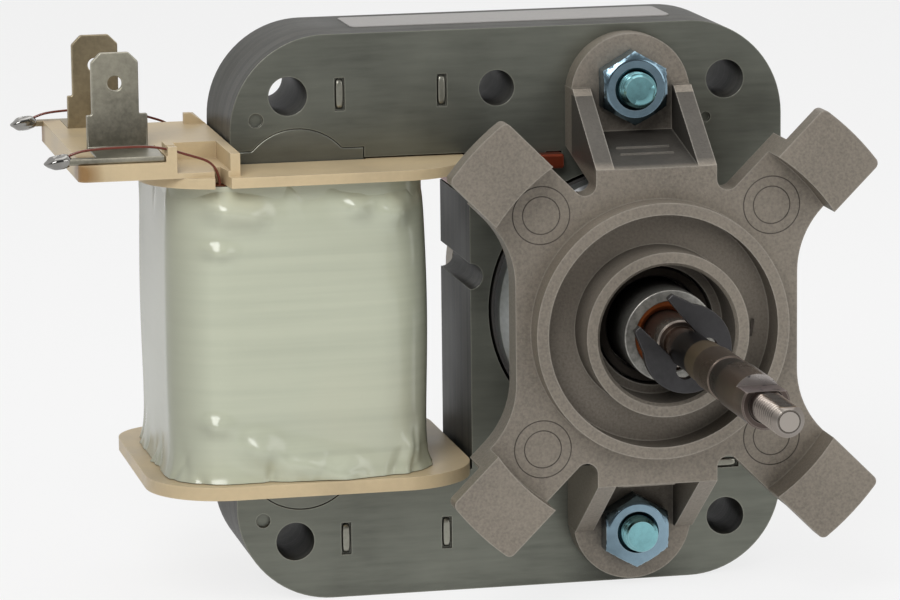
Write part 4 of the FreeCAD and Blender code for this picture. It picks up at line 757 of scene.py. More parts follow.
class Look:
    """Every finish of the motor."""

    STACK = StackFinish("stack_brushed", (118, 120, 111), 0.42, 0.9, wear=0.6, wear_radius=0.3,
                        worn_colour=(186, 184, 172), grain=0.2, grain_scale=900.0,
                        stretch=(0.12, 1.0, 1.0), patches=0.14, bump=0.35, bump_depth=0.03,
                        dust=0.05, grime_and_shade=0.8, shade_reach=5.0, shade_low=0.35)
    LEG = replace(STACK, name="leg_brushed", colour=(120, 121, 112), dust=0.0)
    CASTING = CastFinish("die_cast_grey", (138, 130, 119), 0.5, 0.6, wear=0.6,
                         wear_radius=0.35, worn_colour=(186, 180, 170), grain=0.3,
                         grain_scale=2800.0, patches=0.08, bump=0.8, bump_depth=0.06,
                         dust=0.05, grime_and_shade=0.72, shade_reach=7.0, shade_low=0.42)
    BAR = Finish("interlock_bar", (150, 149, 138), 0.36, 0.9, wear=0.6, wear_radius=0.2,
                 worn_colour=(206, 204, 192), grain=0.15, bump_depth=0.02, grime_and_shade=0.9,
                 shade_reach=0.8)
    MARK = Finish("cast_mark", (78, 72, 66), 0.5, 0.6, grain=0.6, grain_scale=1300.0,
                  patches=0.5, bump=0.5)
    ZINC = Finish("zinc_blue", (128, 152, 166), 0.2, 1.0, wear=0.5, wear_radius=0.25,
                  worn_colour=(206, 216, 220), grain=0.1, grain_scale=900.0, patches=0.3,
                  bump=0.12, bump_depth=0.02, grime_and_shade=0.85, shade_reach=2.5,
                  grime_shade_colour=(20, 26, 32))
    STUD = Finish("zinc_stud", (128, 178, 184), 0.22, 1.0, wear=0.5, wear_radius=0.2,
                  worn_colour=(196, 222, 224), grain=0.15, grain_scale=1200.0, patches=0.3,
                  bump_depth=0.02, grime_and_shade=0.9, shade_reach=1.5, grime_shade_colour=(18, 26, 30))
    BOBBIN = MouldedFinish("bobbin_cream", (196, 176, 140), 0.42, wear=0.25,
                           worn_colour=(218, 200, 168), grain=0.05, grain_scale=1200.0,
                           patches=0.12, bump=0.15, bump_depth=0.03, dust=0.06, grime_and_shade=0.5,
                           shade_reach=3.0, grime_shade_colour=(104, 78, 48))
    TAPE = TapeFinish("tape_pale", (188, 192, 171), 0.16, bump=0.1, bump_depth=0.04,
                      grain_scale=500.0, coat=0.2, grime_and_shade=0.3, shade_reach=3.0,
                      grime_shade_colour=(120, 116, 92))
    WINDING = Finish("winding_copper", (150, 78, 48), 0.35, 0.6, bump=0.4, bump_depth=0.1,
                     grain_scale=1200.0, stretch=(0.1, 0.1, 1.0))
    TIN = Finish("tin_mottled", (160, 156, 141), 0.38, 0.9, wear=0.6, wear_radius=0.15,
                 worn_colour=(214, 212, 202), grain=0.25, patches=0.4, bump=0.3,
                 bump_depth=0.03)
    OLD_TIN = replace(TIN, name="tin_brownish", colour=(152, 140, 116), roughness=0.4,
                      worn_colour=(206, 200, 184))
    SOLDER = Finish("solder_bright", (170, 168, 164), 0.14, 1.0, grain=0.1, patches=0.4,
                    bump=0.3, bump_depth=0.06, grain_scale=500.0, grime_and_shade=0.7, shade_reach=1.2)
    WIRE = Finish("magnet_wire_red", (104, 42, 26), 0.28, 0.2, patches=0.15, coat=0.4)
    COPPER = Finish("copper_dull", (128, 56, 34), 0.36, 0.7, wear=0.4, wear_radius=0.3,
                    worn_colour=(176, 92, 60), grain=0.1, patches=0.25, bump=0.15, grime_and_shade=0.7)
    # The sleeve's strong darkening in its hollows is painted shade deep in the bearing moat.
    SLEEVE = Finish("bearing_sleeve", (150, 148, 142), 0.36, 0.8, wear=0.4, wear_radius=0.2,
                    worn_colour=(206, 204, 198), grain=0.5, grain_scale=1300.0, patches=0.2,
                    grime_and_shade=1.0, shade_reach=12.0, grime_shade_colour=(22, 20, 19))
    BRONZE = Finish("bronze_bush", (160, 84, 38), 0.42, 0.75, grain=0.25, grain_scale=1800.0,
                    patches=0.3, bump=0.3, bump_depth=0.03, grime_and_shade=0.7, shade_reach=3.0,
                    grime_shade_colour=(46, 26, 16))
    FELT = Finish("oil_felt", (46, 38, 30), 0.9, grain=0.4, grain_scale=1600.0, bump=0.8,
                  bump_depth=0.2, grime_and_shade=0.8)
    SHAFT = ShaftFinish("shaft_tempered", (120, 104, 92), 0.3, 0.95, wear=0.5,
                        wear_radius=0.2, worn_colour=(206, 198, 186), grain_scale=900.0,
                        stretch=(0.2, 6.0, 0.2), bump=0.25, bump_depth=0.02, grime_and_shade=0.75,
                        shade_reach=1.5, grime_shade_colour=(24, 20, 19))
    SHEETS = StackFinish("rotor_sheets", (86, 84, 82), 0.45, 0.8, grain=0.1, grime_and_shade=0.7)
    CAGE = Finish("cage_cast", (172, 174, 176), 0.3, 0.9, wear=0.4,
                  worn_colour=(225, 226, 228), grain=0.2, patches=0.15, bump=0.3,
                  bump_depth=0.06)
    WASHER = Finish("washer_fibre", (60, 56, 52), 0.7, grain=0.2)
    BLACK = Finish("clip_black", (62, 61, 62), 0.36, 0.7, wear=0.5, wear_radius=0.15,
                   worn_colour=(120, 118, 116), grain=0.2, patches=0.25, bump_depth=0.02,
                   grime_and_shade=0.5, shade_reach=2.0)
    PAPER = Finish("label_paper", (168, 165, 162), 0.55, grain=0.06, patches=0.05, bump=0.08,
                   bump_depth=0.02)


def linked(name: str, data: bpy.types.ID) -> Piece:
    """Make an object and put it into the scene.

    Args:
        name: Name of the object.
        data: The mesh, curve, text, lamp or camera that it shows.

    Returns:
        The object.
    """
    made = bpy.data.objects.new(name, data)
    bpy.context.scene.collection.objects.link(made)
    return made


def grid_piece(name: str, points: Array, loop_u: bool = True, loop_v: bool = False) -> Piece:
    """Make a mesh object from a grid of points.

    Args:
        name: Name of the piece.
        points: Array of shape (rows, columns, 3), in metres.
        loop_u: Join the last column to the first.
        loop_v: Join the last row to the first.

    Returns:
        The linked object, with doubles merged and faces outward.
    """
    rows, columns = points.shape[:2]
    across = np.arange(columns if loop_u else columns - 1)
    down = np.arange(rows if loop_v else rows - 1)
    i, j = np.meshgrid(down, across, indexing="ij")
    nexti, nextj = (i + 1) % rows, (j + 1) % columns
    faces = np.stack([i * columns + j, i * columns + nextj, nexti * columns + nextj,
                      nexti * columns + j], axis=-1).reshape(-1, 4)
    mesh = bpy.data.meshes.new(name)
    mesh.from_pydata(points.reshape(-1, 3), [], faces.tolist())
    return finished_mesh(name, mesh)


@contextmanager
def edited(mesh: bpy.types.Mesh, merge: float) -> Iterator[bmesh.types.BMesh]:
    """Open a mesh for editing, with doubles merged, and write it back afterwards.

    Args:
        mesh: The mesh, which is changed.
        merge: Points nearer than this, in metres, are one.

    Yields:
        The mesh to edit.
    """
    work = bmesh.new()
    work.from_mesh(mesh)
    bmesh.ops.remove_doubles(work, verts=work.verts, dist=merge)
    bmesh.ops.dissolve_degenerate(work, edges=work.edges, dist=1e-7)
    yield work
    work.to_mesh(mesh)
    work.free()


def finished_mesh(name: str, mesh: bpy.types.Mesh) -> Piece:
    """Merge doubles, turn faces outward, smooth all but the sharp edges and link the object.

    Args:
        name: Name of the object.
        mesh: The mesh, which is changed.

    Returns:
        The linked object.
    """
    with edited(mesh, 2e-6) as work:
        bmesh.ops.recalc_face_normals(work, faces=work.faces)
    smooth(mesh)
    return linked(name, mesh)


def smooth(mesh: bpy.types.Mesh, sharp: float = 38.0) -> None:
    """Shade a mesh smooth and keep its sharp edges crisp.

    Args:
        mesh: The mesh, which is changed.
        sharp: Edges sharper than this, in degrees, are kept.
    """
    mesh.polygons.foreach_set("use_smooth", np.ones(len(mesh.polygons), dtype=bool))
    mesh.set_sharp_from_angle(angle=math.radians(sharp))
    mesh.update()


def joined(name: str, pieces: Sequence[Piece]) -> Piece:
    """Put several fresh pieces into one object.

    Args:
        name: Name of the object.
        pieces: The pieces, which are removed.

    Returns:
        The linked object.
    """
    work = bmesh.new()
    for piece in pieces:
        old = piece.data
        work.from_mesh(old)
        bpy.data.objects.remove(piece)
        bpy.data.meshes.remove(old)
    mesh = bpy.data.meshes.new(name)
    work.to_mesh(mesh)
    work.free()
    smooth(mesh)
    return linked(name, mesh)


def settle(piece: Piece, finish: Finish, slot: str, *nodes: str,
           ride: Ride = Ride.FRAME) -> None:
    """Dress a piece, make it ride on its body and hide the CAD nodes that it stands for.

    Args:
        piece: The piece, in place.
        finish: Its finish.
        slot: Name of the material slot; not used.
        nodes: The CAD nodes that it replaces.
        ride: The body that carries it.
    """
    piece.data.materials.clear()
    piece.data.materials.append(finish.material())
    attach(piece, ride.value)
    if nodes:
        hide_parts(*nodes)
    log.info("%s rides on %s", piece.name, ride.value)


def softened(node: str, width: float, segments: int = 2, angle: float = 34.0) -> Piece:
    """Copy a CAD node, merge its triangles into faces and round its sharp edges.

    Args:
        node: Name of the CAD node.
        width: Width of the rounding, in millimetres.
        segments: Steps across the rounding.
        angle: Edges sharper than this, in degrees, are rounded.

    Returns:
        The linked copy with a live Bevel modifier.
    """
    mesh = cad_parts[node].data.copy()
    mesh.materials.clear()
    with edited(mesh, 1e-6) as work:
        bmesh.ops.dissolve_limit(work, angle_limit=math.radians(0.6), verts=work.verts,
                                 edges=work.edges, delimit=set())
    smooth(mesh, angle)
    piece = linked(node + "_edges", mesh)
    if width > 0.0:
        bevel = piece.modifiers.new("edges", "BEVEL")
        bevel.width = width * MM
        bevel.segments = segments
        bevel.limit_method = "ANGLE"
        bevel.angle_limit = math.radians(angle)
        bevel.harden_normals = True
        bevel.miter_outer = "MITER_ARC"
    even = piece.modifiers.new("normals", "WEIGHTED_NORMAL")
    even.keep_sharp = True
    even.weight = 80
    return piece


def ripple(along: Array, up: Array, seed: int, waves: int, finest: float) -> Array:
    """Sum of plane waves with random headings, scaled to about -1 to 1.

    Args:
        along: Places round the loop, 0 to 1, so whole wave counts close on themselves.
        up: Places across the loop, in loops' lengths.
        seed: Seed of the draw.
        waves: How many waves are added.
        finest: Most waves round the loop.

    Returns:
        The height at each place.
    """
    draw = np.random.default_rng(seed)
    total = np.zeros(np.broadcast(along, up).shape)
    for _ in range(waves):
        count = round(draw.uniform(1.0, finest))
        slope = draw.uniform(-finest, finest)
        phase = draw.uniform(0.0, TAU)
        total = total + np.sin(TAU * (count * along + slope * up) + phase) / math.sqrt(waves)
    return total


def turned_surface(profile: Outline, centre: Pair, columns: int, shape: Shape | None = None,
                   step: float = 4.0) -> Array:
    """Points of a profile carried round an axis along Y.

    Each point is (centre x + r sin a, y, centre z + r cos a), with r from the profile and
    then changed by shape(r, y, a) where one is given.

    Args:
        profile: Corners as (radius, y), in millimetres, in order.
        centre: The axis as (x, z), in millimetres.
        columns: Points round the axis.
        shape: Optional change of the radius.
        step: Longest stretch along the profile, in millimetres.

    Returns:
        Array of shape (rows, columns, 3), in metres.
    """
    corners = np.array(profile, dtype=float)
    lengths = np.hypot(*(corners[1:] - corners[:-1]).T)
    parts = []
    for start, end, length in zip(corners[:-1], corners[1:], lengths):
        count = max(1, math.ceil(length / step))
        parts.append(start + (end - start) * (np.arange(count)[:, None] / count))
    rows = np.concatenate(parts + [corners[-1:]])
    turn = np.arange(columns) * TAU / columns
    radius, place, angle = np.broadcast_arrays(rows[:, :1], rows[:, 1:], turn[None, :])
    if shape is not None:
        radius = shape(radius, place, angle)
    return np.stack([centre[0] + radius * np.sin(angle), place,
                     centre[1] + radius * np.cos(angle)], axis=-1) * MM


def hexagon_radius(angle: Array, flats: float) -> Array:
    """Distance from a hexagon's centre to its side, corners up and down."""
    turn = np.mod(angle, TAU / 6.0)
    return flats / 2.0 / np.cos(turn - TAU / 12.0)


def blunted(wave: Array, power: float) -> Array:
    """Raise a wave to a power and keep its sign."""
    return np.sign(wave) * np.abs(wave) ** power


def helix(place: Array, angle: Array, pitch: float) -> Array:
    """Depth of a helical groove, 0 to 1: a cosine of the turns along Y plus the angle."""
    return 0.5 - 0.5 * np.cos(TAU * place / pitch + angle)


@dataclass
class LaminationStack:
    """The C-shaped stack, the coil leg, the interlock bars and the copper shading rings.

    Each bar is (x, z, half width, half height), in millimetres.
    """

    edge: float = 0.22
    ring_edge: float = 0.35
    bars: tuple[tuple[float, float, float, float], ...] = (
        (-23.0, 30.3, 0.56, 2.06), (-9.1, 30.3, 0.56, 2.06), (-23.0, -30.3, 0.56, 2.06),
        (-9.1, -30.3, 0.56, 2.06), (29.7, -22.8, 2.06, 0.56))
    bar_depth: float = 0.45
    bar_top: float = 0.05
    bar_back: float = 0.56
    rings: tuple[str, ...] = ("shading_ring_upper_outer", "shading_ring_upper_inner",
                              "shading_ring_lower_outer", "shading_ring_lower_inner")

    def build(self) -> None:
        """Make softened copies of the stacks and rings, and the bars."""
        self.core = softened("stator_core", self.edge)
        self.leg = softened("coil_leg", self.edge)
        self.marks = joined("interlock_bars", [self._bar(*bar) for bar in self.bars])
        self.copper = [softened(name, self.ring_edge, 3) for name in self.rings]

    def _bar(self, x: float, z: float, wide: float, tall: float) -> Piece:
        """Make one pressed bar: a pillow on a rounded box, closed at its back.

        The outline is a superellipse with power one half, and the height falls with the
        ninth power of the distance from the middle.

        Args:
            x: Its middle across the stack, in millimetres.
            z: Its middle up the stack.
            wide: Half its width.
            tall: Half its height.

        Returns:
            The linked bar.
        """
        share = np.concatenate([np.linspace(0.02, 1.0, 9), [1.0, 0.02]])[:, None]
        angle = (np.arange(48) * TAU / 48)[None, :]
        across, up = blunted(np.cos(angle), 0.5), blunted(np.sin(angle), 0.5)
        deep = self.bar_depth * share ** 9 + self.bar_top
        deep[-2:] = self.bar_back
        points = np.stack([x + wide * across * share, deep * np.ones_like(across),
                           z + tall * up * share], axis=-1)
        return grid_piece("bar", points * MM)

    def dress(self) -> None:
        """Give the stacks their brushed steel and the rings their copper."""
        settle(self.marks, Look.BAR, "stack_steel")
        settle(self.core, Look.STACK, "stack_steel", "stator_core")
        settle(self.leg, Look.LEG, "leg_steel", "coil_leg")
        for piece, name in zip(self.copper, self.rings):
            settle(piece, Look.COPPER, "ring_copper", name)


@dataclass
class TapedCoil:
    """The wound coil with its glossy tape.

    Lengths are in millimetres. Each fold is (x, z, width, height, rise).
    """

    corner: float = 8.0
    wall: float = 0.6
    pitch: float = 0.34
    bulge: float = 0.35
    flare: float = 1.0
    flare_reach: float = 2.0
    tuck: float = 0.9
    tuck_reach: float = 1.6
    swell: float = 0.06
    sink: float = 0.15
    folds: tuple[tuple[float, float, float, float, float], ...] = (
        (-40.2, 16.8, 2.7, 2.1, 1.6), (-36.6, 16.2, 2.2, 1.8, 1.2),
        (-22.6, 16.6, 1.8, 1.6, 1.1), (-17.4, 15.6, 2.0, 1.8, 1.3),
        (-41.2, 11.3, 1.9, 1.1, 0.8), (-42.0, -12.0, 1.9, 1.2, 0.9),
        (-36.0, -15.4, 2.6, 2.1, 1.4), (-30.4, -17.4, 2.8, 2.0, 1.4),
        (-25.0, -18.6, 2.8, 1.8, 1.3), (-15.8, -16.4, 1.4, 1.9, 0.9))
    pleats: int = 90
    pleat_rise: float = 0.42
    pleat_seed: int = 11
    swell_seed: int = 8

    def _loop(self, low: Array, high: Array) -> tuple[Array, Array, Array]:
        """Rounded box seen from above, as points, outward directions and shares of a lap.

        Four straight stretches alternate with four quarter circles.

        Args:
            low: Lowest x and y, in millimetres.
            high: Highest x and y, in millimetres.

        Returns:
            Points, outward directions and lap shares.
        """
        (left, near), (right, far) = low + self.corner, high - self.corner
        centres = np.array([(right, near), (right, far), (left, far), (left, near)])
        points, directions = [], []
        quarter = math.pi / 2
        turn = max(8, int(self.corner * quarter / self.pitch))
        for index, centre in enumerate(centres):
            angle = -quarter + index * quarter + np.arange(turn + 1) * quarter / turn
            heading = np.stack([np.cos(angle), np.sin(angle)], axis=-1)
            arc = centre + heading * self.corner
            following = centres[(index + 1) % 4] + heading[-1] * self.corner
            count = max(2, int(np.hypot(*(following - arc[-1])) / self.pitch))
            share = (np.arange(1, count) / count)[:, None]
            points += [arc, arc[-1] + (following - arc[-1]) * share]
            directions += [heading, np.repeat(heading[-1:], count - 1, axis=0)]
        ring = np.concatenate(points)
        steps = np.hypot(*(np.roll(ring, -1, axis=0) - ring).T)
        laps = np.concatenate([[0.0], np.cumsum(steps)[:-1]]) / steps.sum()
        return ring, np.concatenate(directions), laps

    def _pleating(self, laps: Array, level: Array, length: float) -> Array:
        """Height of the short creases that run in from both ends of the coil.

        Each pleat is a bell across the lap that leans a little and dies away with the
        distance from its end. Places, widths, leans and rises are drawn with one seed.

        Args:
            laps: Shares of a lap round the coil.
            level: Heights of the rows, in millimetres.
            length: Length of a lap, in millimetres.

        Returns:
            The height for each row and place, in millimetres.
        """
        draw = np.random.default_rng(self.pleat_seed)
        total = np.zeros((len(level), len(laps)))
        for number in range(self.pleats):
            place, lean = draw.uniform(0.0, 1.0), draw.uniform(-0.6, 0.6)
            width, reach = draw.uniform(0.5, 1.5), draw.uniform(0.8, 4.2)
            rise = draw.uniform(-1.0, 1.0) * self.pleat_rise
            away = level - level[0] if number % 2 else level[-1] - level
            offset = np.mod(laps[None, :] - place + 0.5, 1.0) - 0.5
            bell = np.exp(-((offset * length + lean * away[:, None]) / width) ** 2)
            total += rise * bell * np.exp(-(away / reach) ** 2)[:, None]
        return total

    def _puckers(self, ring: Array, heading: Array, level: Array) -> Array:
        """Height of the listed puckers on the front of the coil.

        Each pucker is a bell in both directions, and only the front of the lap has them.

        Args:
            ring: Points round the lap, in millimetres.
            heading: Outward directions at those points.
            level: Heights of the rows, in millimetres.

        Returns:
            The height for each row and place, in millimetres.
        """
        front = np.clip(-heading[:, 1], 0.0, 1.0)[None, :]
        total = np.zeros((len(level), len(ring)))
        for x, z, wide, tall, rise in self.folds:
            across = (ring[None, :, 0] - x) / wide
            up = (level[:, None] - z) / tall
            total += rise * front * np.exp(-across ** 2 - (up + 0.15 * across) ** 2)
        return total

    def build(self) -> None:
        """Carry an upright profile round the coil and crease it.

        The surface stands off the loop by a bulge in the middle, a flare at the foot, a tuck
        at the top, the pleats, the puckers and one slow swell.
        """
        low, high = (np.array(corner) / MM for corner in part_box("coil_tape"))
        ring, heading, laps = self._loop(low[:2], high[:2])
        length = float(np.hypot(*(np.roll(ring, -1, axis=0) - ring).T).sum())
        rows = int((high[2] - low[2]) / self.pitch)
        level = low[2] + (high[2] - low[2]) * np.arange(rows + 1) / rows
        share = (level - low[2]) / (high[2] - low[2])
        above, below = (level - low[2])[:, None], (high[2] - level)[:, None]
        waves = ripple(laps[None, :], share[:, None] * 0.3, self.swell_seed, 6, 5.0)
        stand = (self.bulge * (np.sin(math.pi * share)[:, None] - 0.75)
                 + self.flare * np.exp(-above / self.flare_reach)
                 - self.tuck * np.exp(-below / self.tuck_reach)
                 + self.swell * waves - self.sink
                 + self._pleating(laps, level, length) + self._puckers(ring, heading, level))
        outer = np.empty((rows + 1, len(ring), 3))
        outer[..., :2] = ring[None] + heading[None] * stand[..., None]
        outer[..., 2] = level[:, None]
        inner = outer[::-1].copy()
        inner[..., :2] = ring[None] - heading[None] * self.wall
        skin = np.concatenate([outer, inner[::max(1, rows // 6)]])
        self.tape = grid_piece("coil_tape_wrap", skin * MM, loop_v=True)

    def dress(self) -> None:
        """Give the tape its gloss and the wire under it its copper."""
        settle(self.tape, Look.TAPE, "tape", "coil_tape")
        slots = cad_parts["coil_winding"].data.materials
        slots.clear()
        slots.append(Look.WINDING.material())


@dataclass
class BobbinAndTerminals:
    """The moulded bobbin with its blade terminals, solder joints and lead wires.

    Lengths are in millimetres. The blob is the joint's half sizes, blob_at its (x, z),
    levels the y of the two joints, and the route the (x, z) of both wires.
    """

    edge: float = 0.55
    blade_edge: float = 0.2
    blades: tuple[tuple[str, Finish], ...] = (("terminal_front", Look.TIN),
                                              ("terminal_rear", Look.OLD_TIN))
    tail_end: float = -62.7
    blob: Triple = (1.82, 1.15, 0.92)
    blob_at: Pair = (-61.88, 24.12)
    blunt: float = 0.72
    wire: float = 0.34
    wire_names: tuple[str, str] = ("front_lead_wire", "rear_lead_wire")
    levels: Pair = (-8.6, 27.6)
    route: tuple[Pair, ...] = (
        (-61.4, 24.5), (-60.2, 25.0), (-59.2, 25.42), (-57.2, 25.62), (-54.6, 25.74),
        (-50.2, 25.74), (-48.1, 25.4), (-46.2, 24.86), (-44.4, 24.2), (-42.4, 23.6),
        (-41.3, 22.7), (-40.8, 21.4), (-40.7, 20.3))

    def build(self) -> None:
        """Make the moulding, the blades, the joints and the wires."""
        self.moulding = softened("bobbin", self.edge, 3)
        self.tabs = [self._blade(name) for name, _ in self.blades]
        self.joints = joined("solder_blobs", [self._joint(number) for number in (0, 1)])
        self.wires = [self._wire(number) for number in (0, 1)]

    def _blade(self, name: str) -> Piece:
        """Make one blade, with the end of its tail drawn back inside the solder.

        Args:
            name: Name of the CAD node.

        Returns:
            The linked blade.
        """
        blade = softened(name, self.blade_edge)
        spots = np.empty(len(blade.data.vertices) * 3)
        blade.data.vertices.foreach_get("co", spots)
        spots[0::3] = np.maximum(spots[0::3], self.tail_end * MM)
        blade.data.vertices.foreach_set("co", spots)
        blade.data.update()
        return blade

    def _joint(self, number: int) -> Piece:
        """Make one joint: a blunt ellipsoid, thinner at the left, that swells in slow waves.

        Args:
            number: 0 for the front joint and 1 for the rear one.

        Returns:
            The linked joint.
        """
        tilt = np.linspace(0.0, math.pi, 33)[:, None]
        turn = (np.arange(56) * TAU / 56)[None, :]
        phase = 1.3 * number
        swell = (1.0 + 0.10 * np.sin(3 * turn + 1.0 + phase) * np.sin(tilt) ** 2
                 + 0.07 * np.sin(2 * turn + 4 * tilt + phase))
        share = np.sin(tilt) * np.cos(turn)
        taper = 1.0 + 0.16 * share
        x = self.blob[0] * blunted(share, self.blunt) * (1.0 + 0.05 * np.sin(5 * tilt))
        y = self.blob[1] * np.sin(tilt) * np.sin(turn) * swell * taper
        z = self.blob[2] * np.cos(tilt) * swell * taper + 0.08 * x
        centre = np.array([self.blob_at[0], self.levels[number], self.blob_at[1]])
        return grid_piece("solder_blob", (np.stack([x, y, z], axis=-1) + centre) * MM)

    def _wire(self, number: int) -> Piece:
        """Lay one smooth thin curve from a joint along the block and down to the coil.

        Args:
            number: 0 for the front wire and 1 for the rear one.

        Returns:
            The linked wire.
        """
        curve = bpy.data.curves.new("lead_wire", "CURVE")
        curve.dimensions = "3D"
        curve.bevel_depth = self.wire / 2 * MM
        curve.bevel_resolution = 3
        curve.use_fill_caps = True
        spline = curve.splines.new("NURBS")
        spline.points.add(len(self.route) - 1)
        for point, (x, z) in zip(spline.points, self.route):
            sway = 0.1 * math.sin(0.7 * x + number)
            point.co = (x * MM, (self.levels[number] + sway) * MM, z * MM, 1.0)
        spline.order_u = 4
        spline.use_endpoint_u = True
        return linked(self.wire_names[number], curve)

    def dress(self) -> None:
        """Give each piece its plastic, tin, solder or enamel."""
        settle(self.moulding, Look.BOBBIN, "bobbin_plastic", "bobbin")
        for piece, (name, finish) in zip(self.tabs, self.blades):
            settle(piece, finish, "tinned_sheet", name)
        settle(self.joints, Look.SOLDER, "solder", "solder_joints")
        for wire in self.wires:
            settle(wire, Look.WIRE, "magnet_wire", "lead_wires")


@dataclass
class FrontBracket:
    """The die-cast bracket with its ejector marks and the cast number, in millimetres."""

    edge: float = 0.4
    mark_reach: float = 22.15
    mark_radii: Pair = (2.5, 3.85)
    mark_width: float = 0.2
    mark_rise: float = 0.03
    mark_foot: float = 0.15
    hub_y: float = -17.3
    figure: str = "1"
    figure_size: float = 3.2
    figure_rise: float = 0.12
    figure_edge: float = 0.04
    figure_tilt: float = -8.0
    figure_at: Triple = (13.1, -16.5, -1.0)

    def build(self) -> None:
        """Make the softened casting and the small marks on it."""
        self.casting = softened("front_bracket", self.edge, 3)
        self.marks = joined("ejector_marks", [
            self._mark(math.pi / 4 + quarter * math.pi / 2, radius)
            for quarter in range(4) for radius in self.mark_radii])
        self.number = self._number()

    def _mark(self, angle: float, radius: float) -> Piece:
        """Make one round ejector mark: a ring with a low cosine ridge.

        Args:
            angle: Where round the hub it lies.
            radius: Radius of the ring, in millimetres.

        Returns:
            The linked ring.
        """
        centre = (AXIS_X / MM + self.mark_reach * math.cos(angle),
                  self.mark_reach * math.sin(angle))
        half = self.mark_width / 2
        across = np.linspace(-1.0, 1.0, 9)
        ridge = self.hub_y - self.mark_rise * np.cos(across * math.pi / 2) + 0.01
        profile = [*zip(radius + half * across, ridge)]
        foot = self.hub_y + self.mark_foot
        profile += [(radius + half, foot), (radius - half, foot), profile[0]]
        return grid_piece("mark", turned_surface(profile, centre, 56))

    def _number(self) -> Piece:
        """Make the plain number that stands on the ring round the boss.

        Returns:
            The linked number.
        """
        text = bpy.data.curves.new("cast_number", "FONT")
        text.body = self.figure
        text.size = self.figure_size * MM
        text.extrude = self.figure_rise * MM
        text.bevel_depth = self.figure_edge * MM
        text.align_x = text.align_y = "CENTER"
        flat = linked("cast_number_flat", text)
        bpy.context.view_layer.update()
        mesh = bpy.data.meshes.new_from_object(flat)
        bpy.data.objects.remove(flat)
        x, y, z = self.figure_at
        mesh.transform(Matrix.Translation((AXIS_X + x * MM, y * MM, z * MM))
                       @ Matrix.Rotation(math.pi / 2, 4, "X")
                       @ Matrix.Rotation(math.radians(self.figure_tilt), 4, "Z"))
        return finished_mesh("cast_number", mesh)

    def dress(self) -> None:
        """Give the casting its sandy grey."""
        settle(self.casting, Look.CASTING, "die_cast", "front_bracket")
        settle(self.marks, Look.MARK, "die_cast")
        settle(self.number, Look.MARK, "die_cast")


@dataclass
class PlainPieces:
    """Pieces whose CAD shape only needs soft edges and a finish.

    Each row is the nodes, the width of their edges, their finish, slot and body.
    """

    plan: tuple[tuple[tuple[str, ...], float, Finish, str, Ride], ...] = (
        (("rear_bracket",), 0.4, Look.CASTING, "die_cast", Ride.FRAME),
        (("front_bearing_sleeve", "rear_bearing_sleeve"), 0.2, Look.SLEEVE, "sleeve_metal",
         Ride.FRAME),
        (("front_bush", "rear_bush"), 0.1, Look.BRONZE, "bronze", Ride.FRAME),
        (("front_oil_felt", "rear_oil_felt"), 0.3, Look.FELT, "felt", Ride.FRAME),
        (("rotor_core",), 0.15, Look.SHEETS, "rotor_steel", Ride.ROTOR),
        (("rotor_cage",), 0.7, Look.CAGE, "cage_aluminium", Ride.ROTOR),
        (("front_thrust_washer", "rear_thrust_washer"), 0.08, Look.WASHER, "washer",
         Ride.ROTOR),
        (("shaft_clip",), 0.12, Look.BLACK, "black_steel", Ride.ROTOR),
        (("rating_label",), 0.0, Look.PAPER, "label", Ride.FRAME))

    def build(self) -> None:
        """Make the softened copies."""
        self.copies = [[softened(name, row[1]) for name in row[0]] for row in self.plan]

    def dress(self) -> None:
        """Give each copy its finish."""
        for copies, (names, _, finish, slot, ride) in zip(self.copies, self.plan):
            for piece, name in zip(copies, names):
                settle(piece, finish, slot, name, ride=ride)


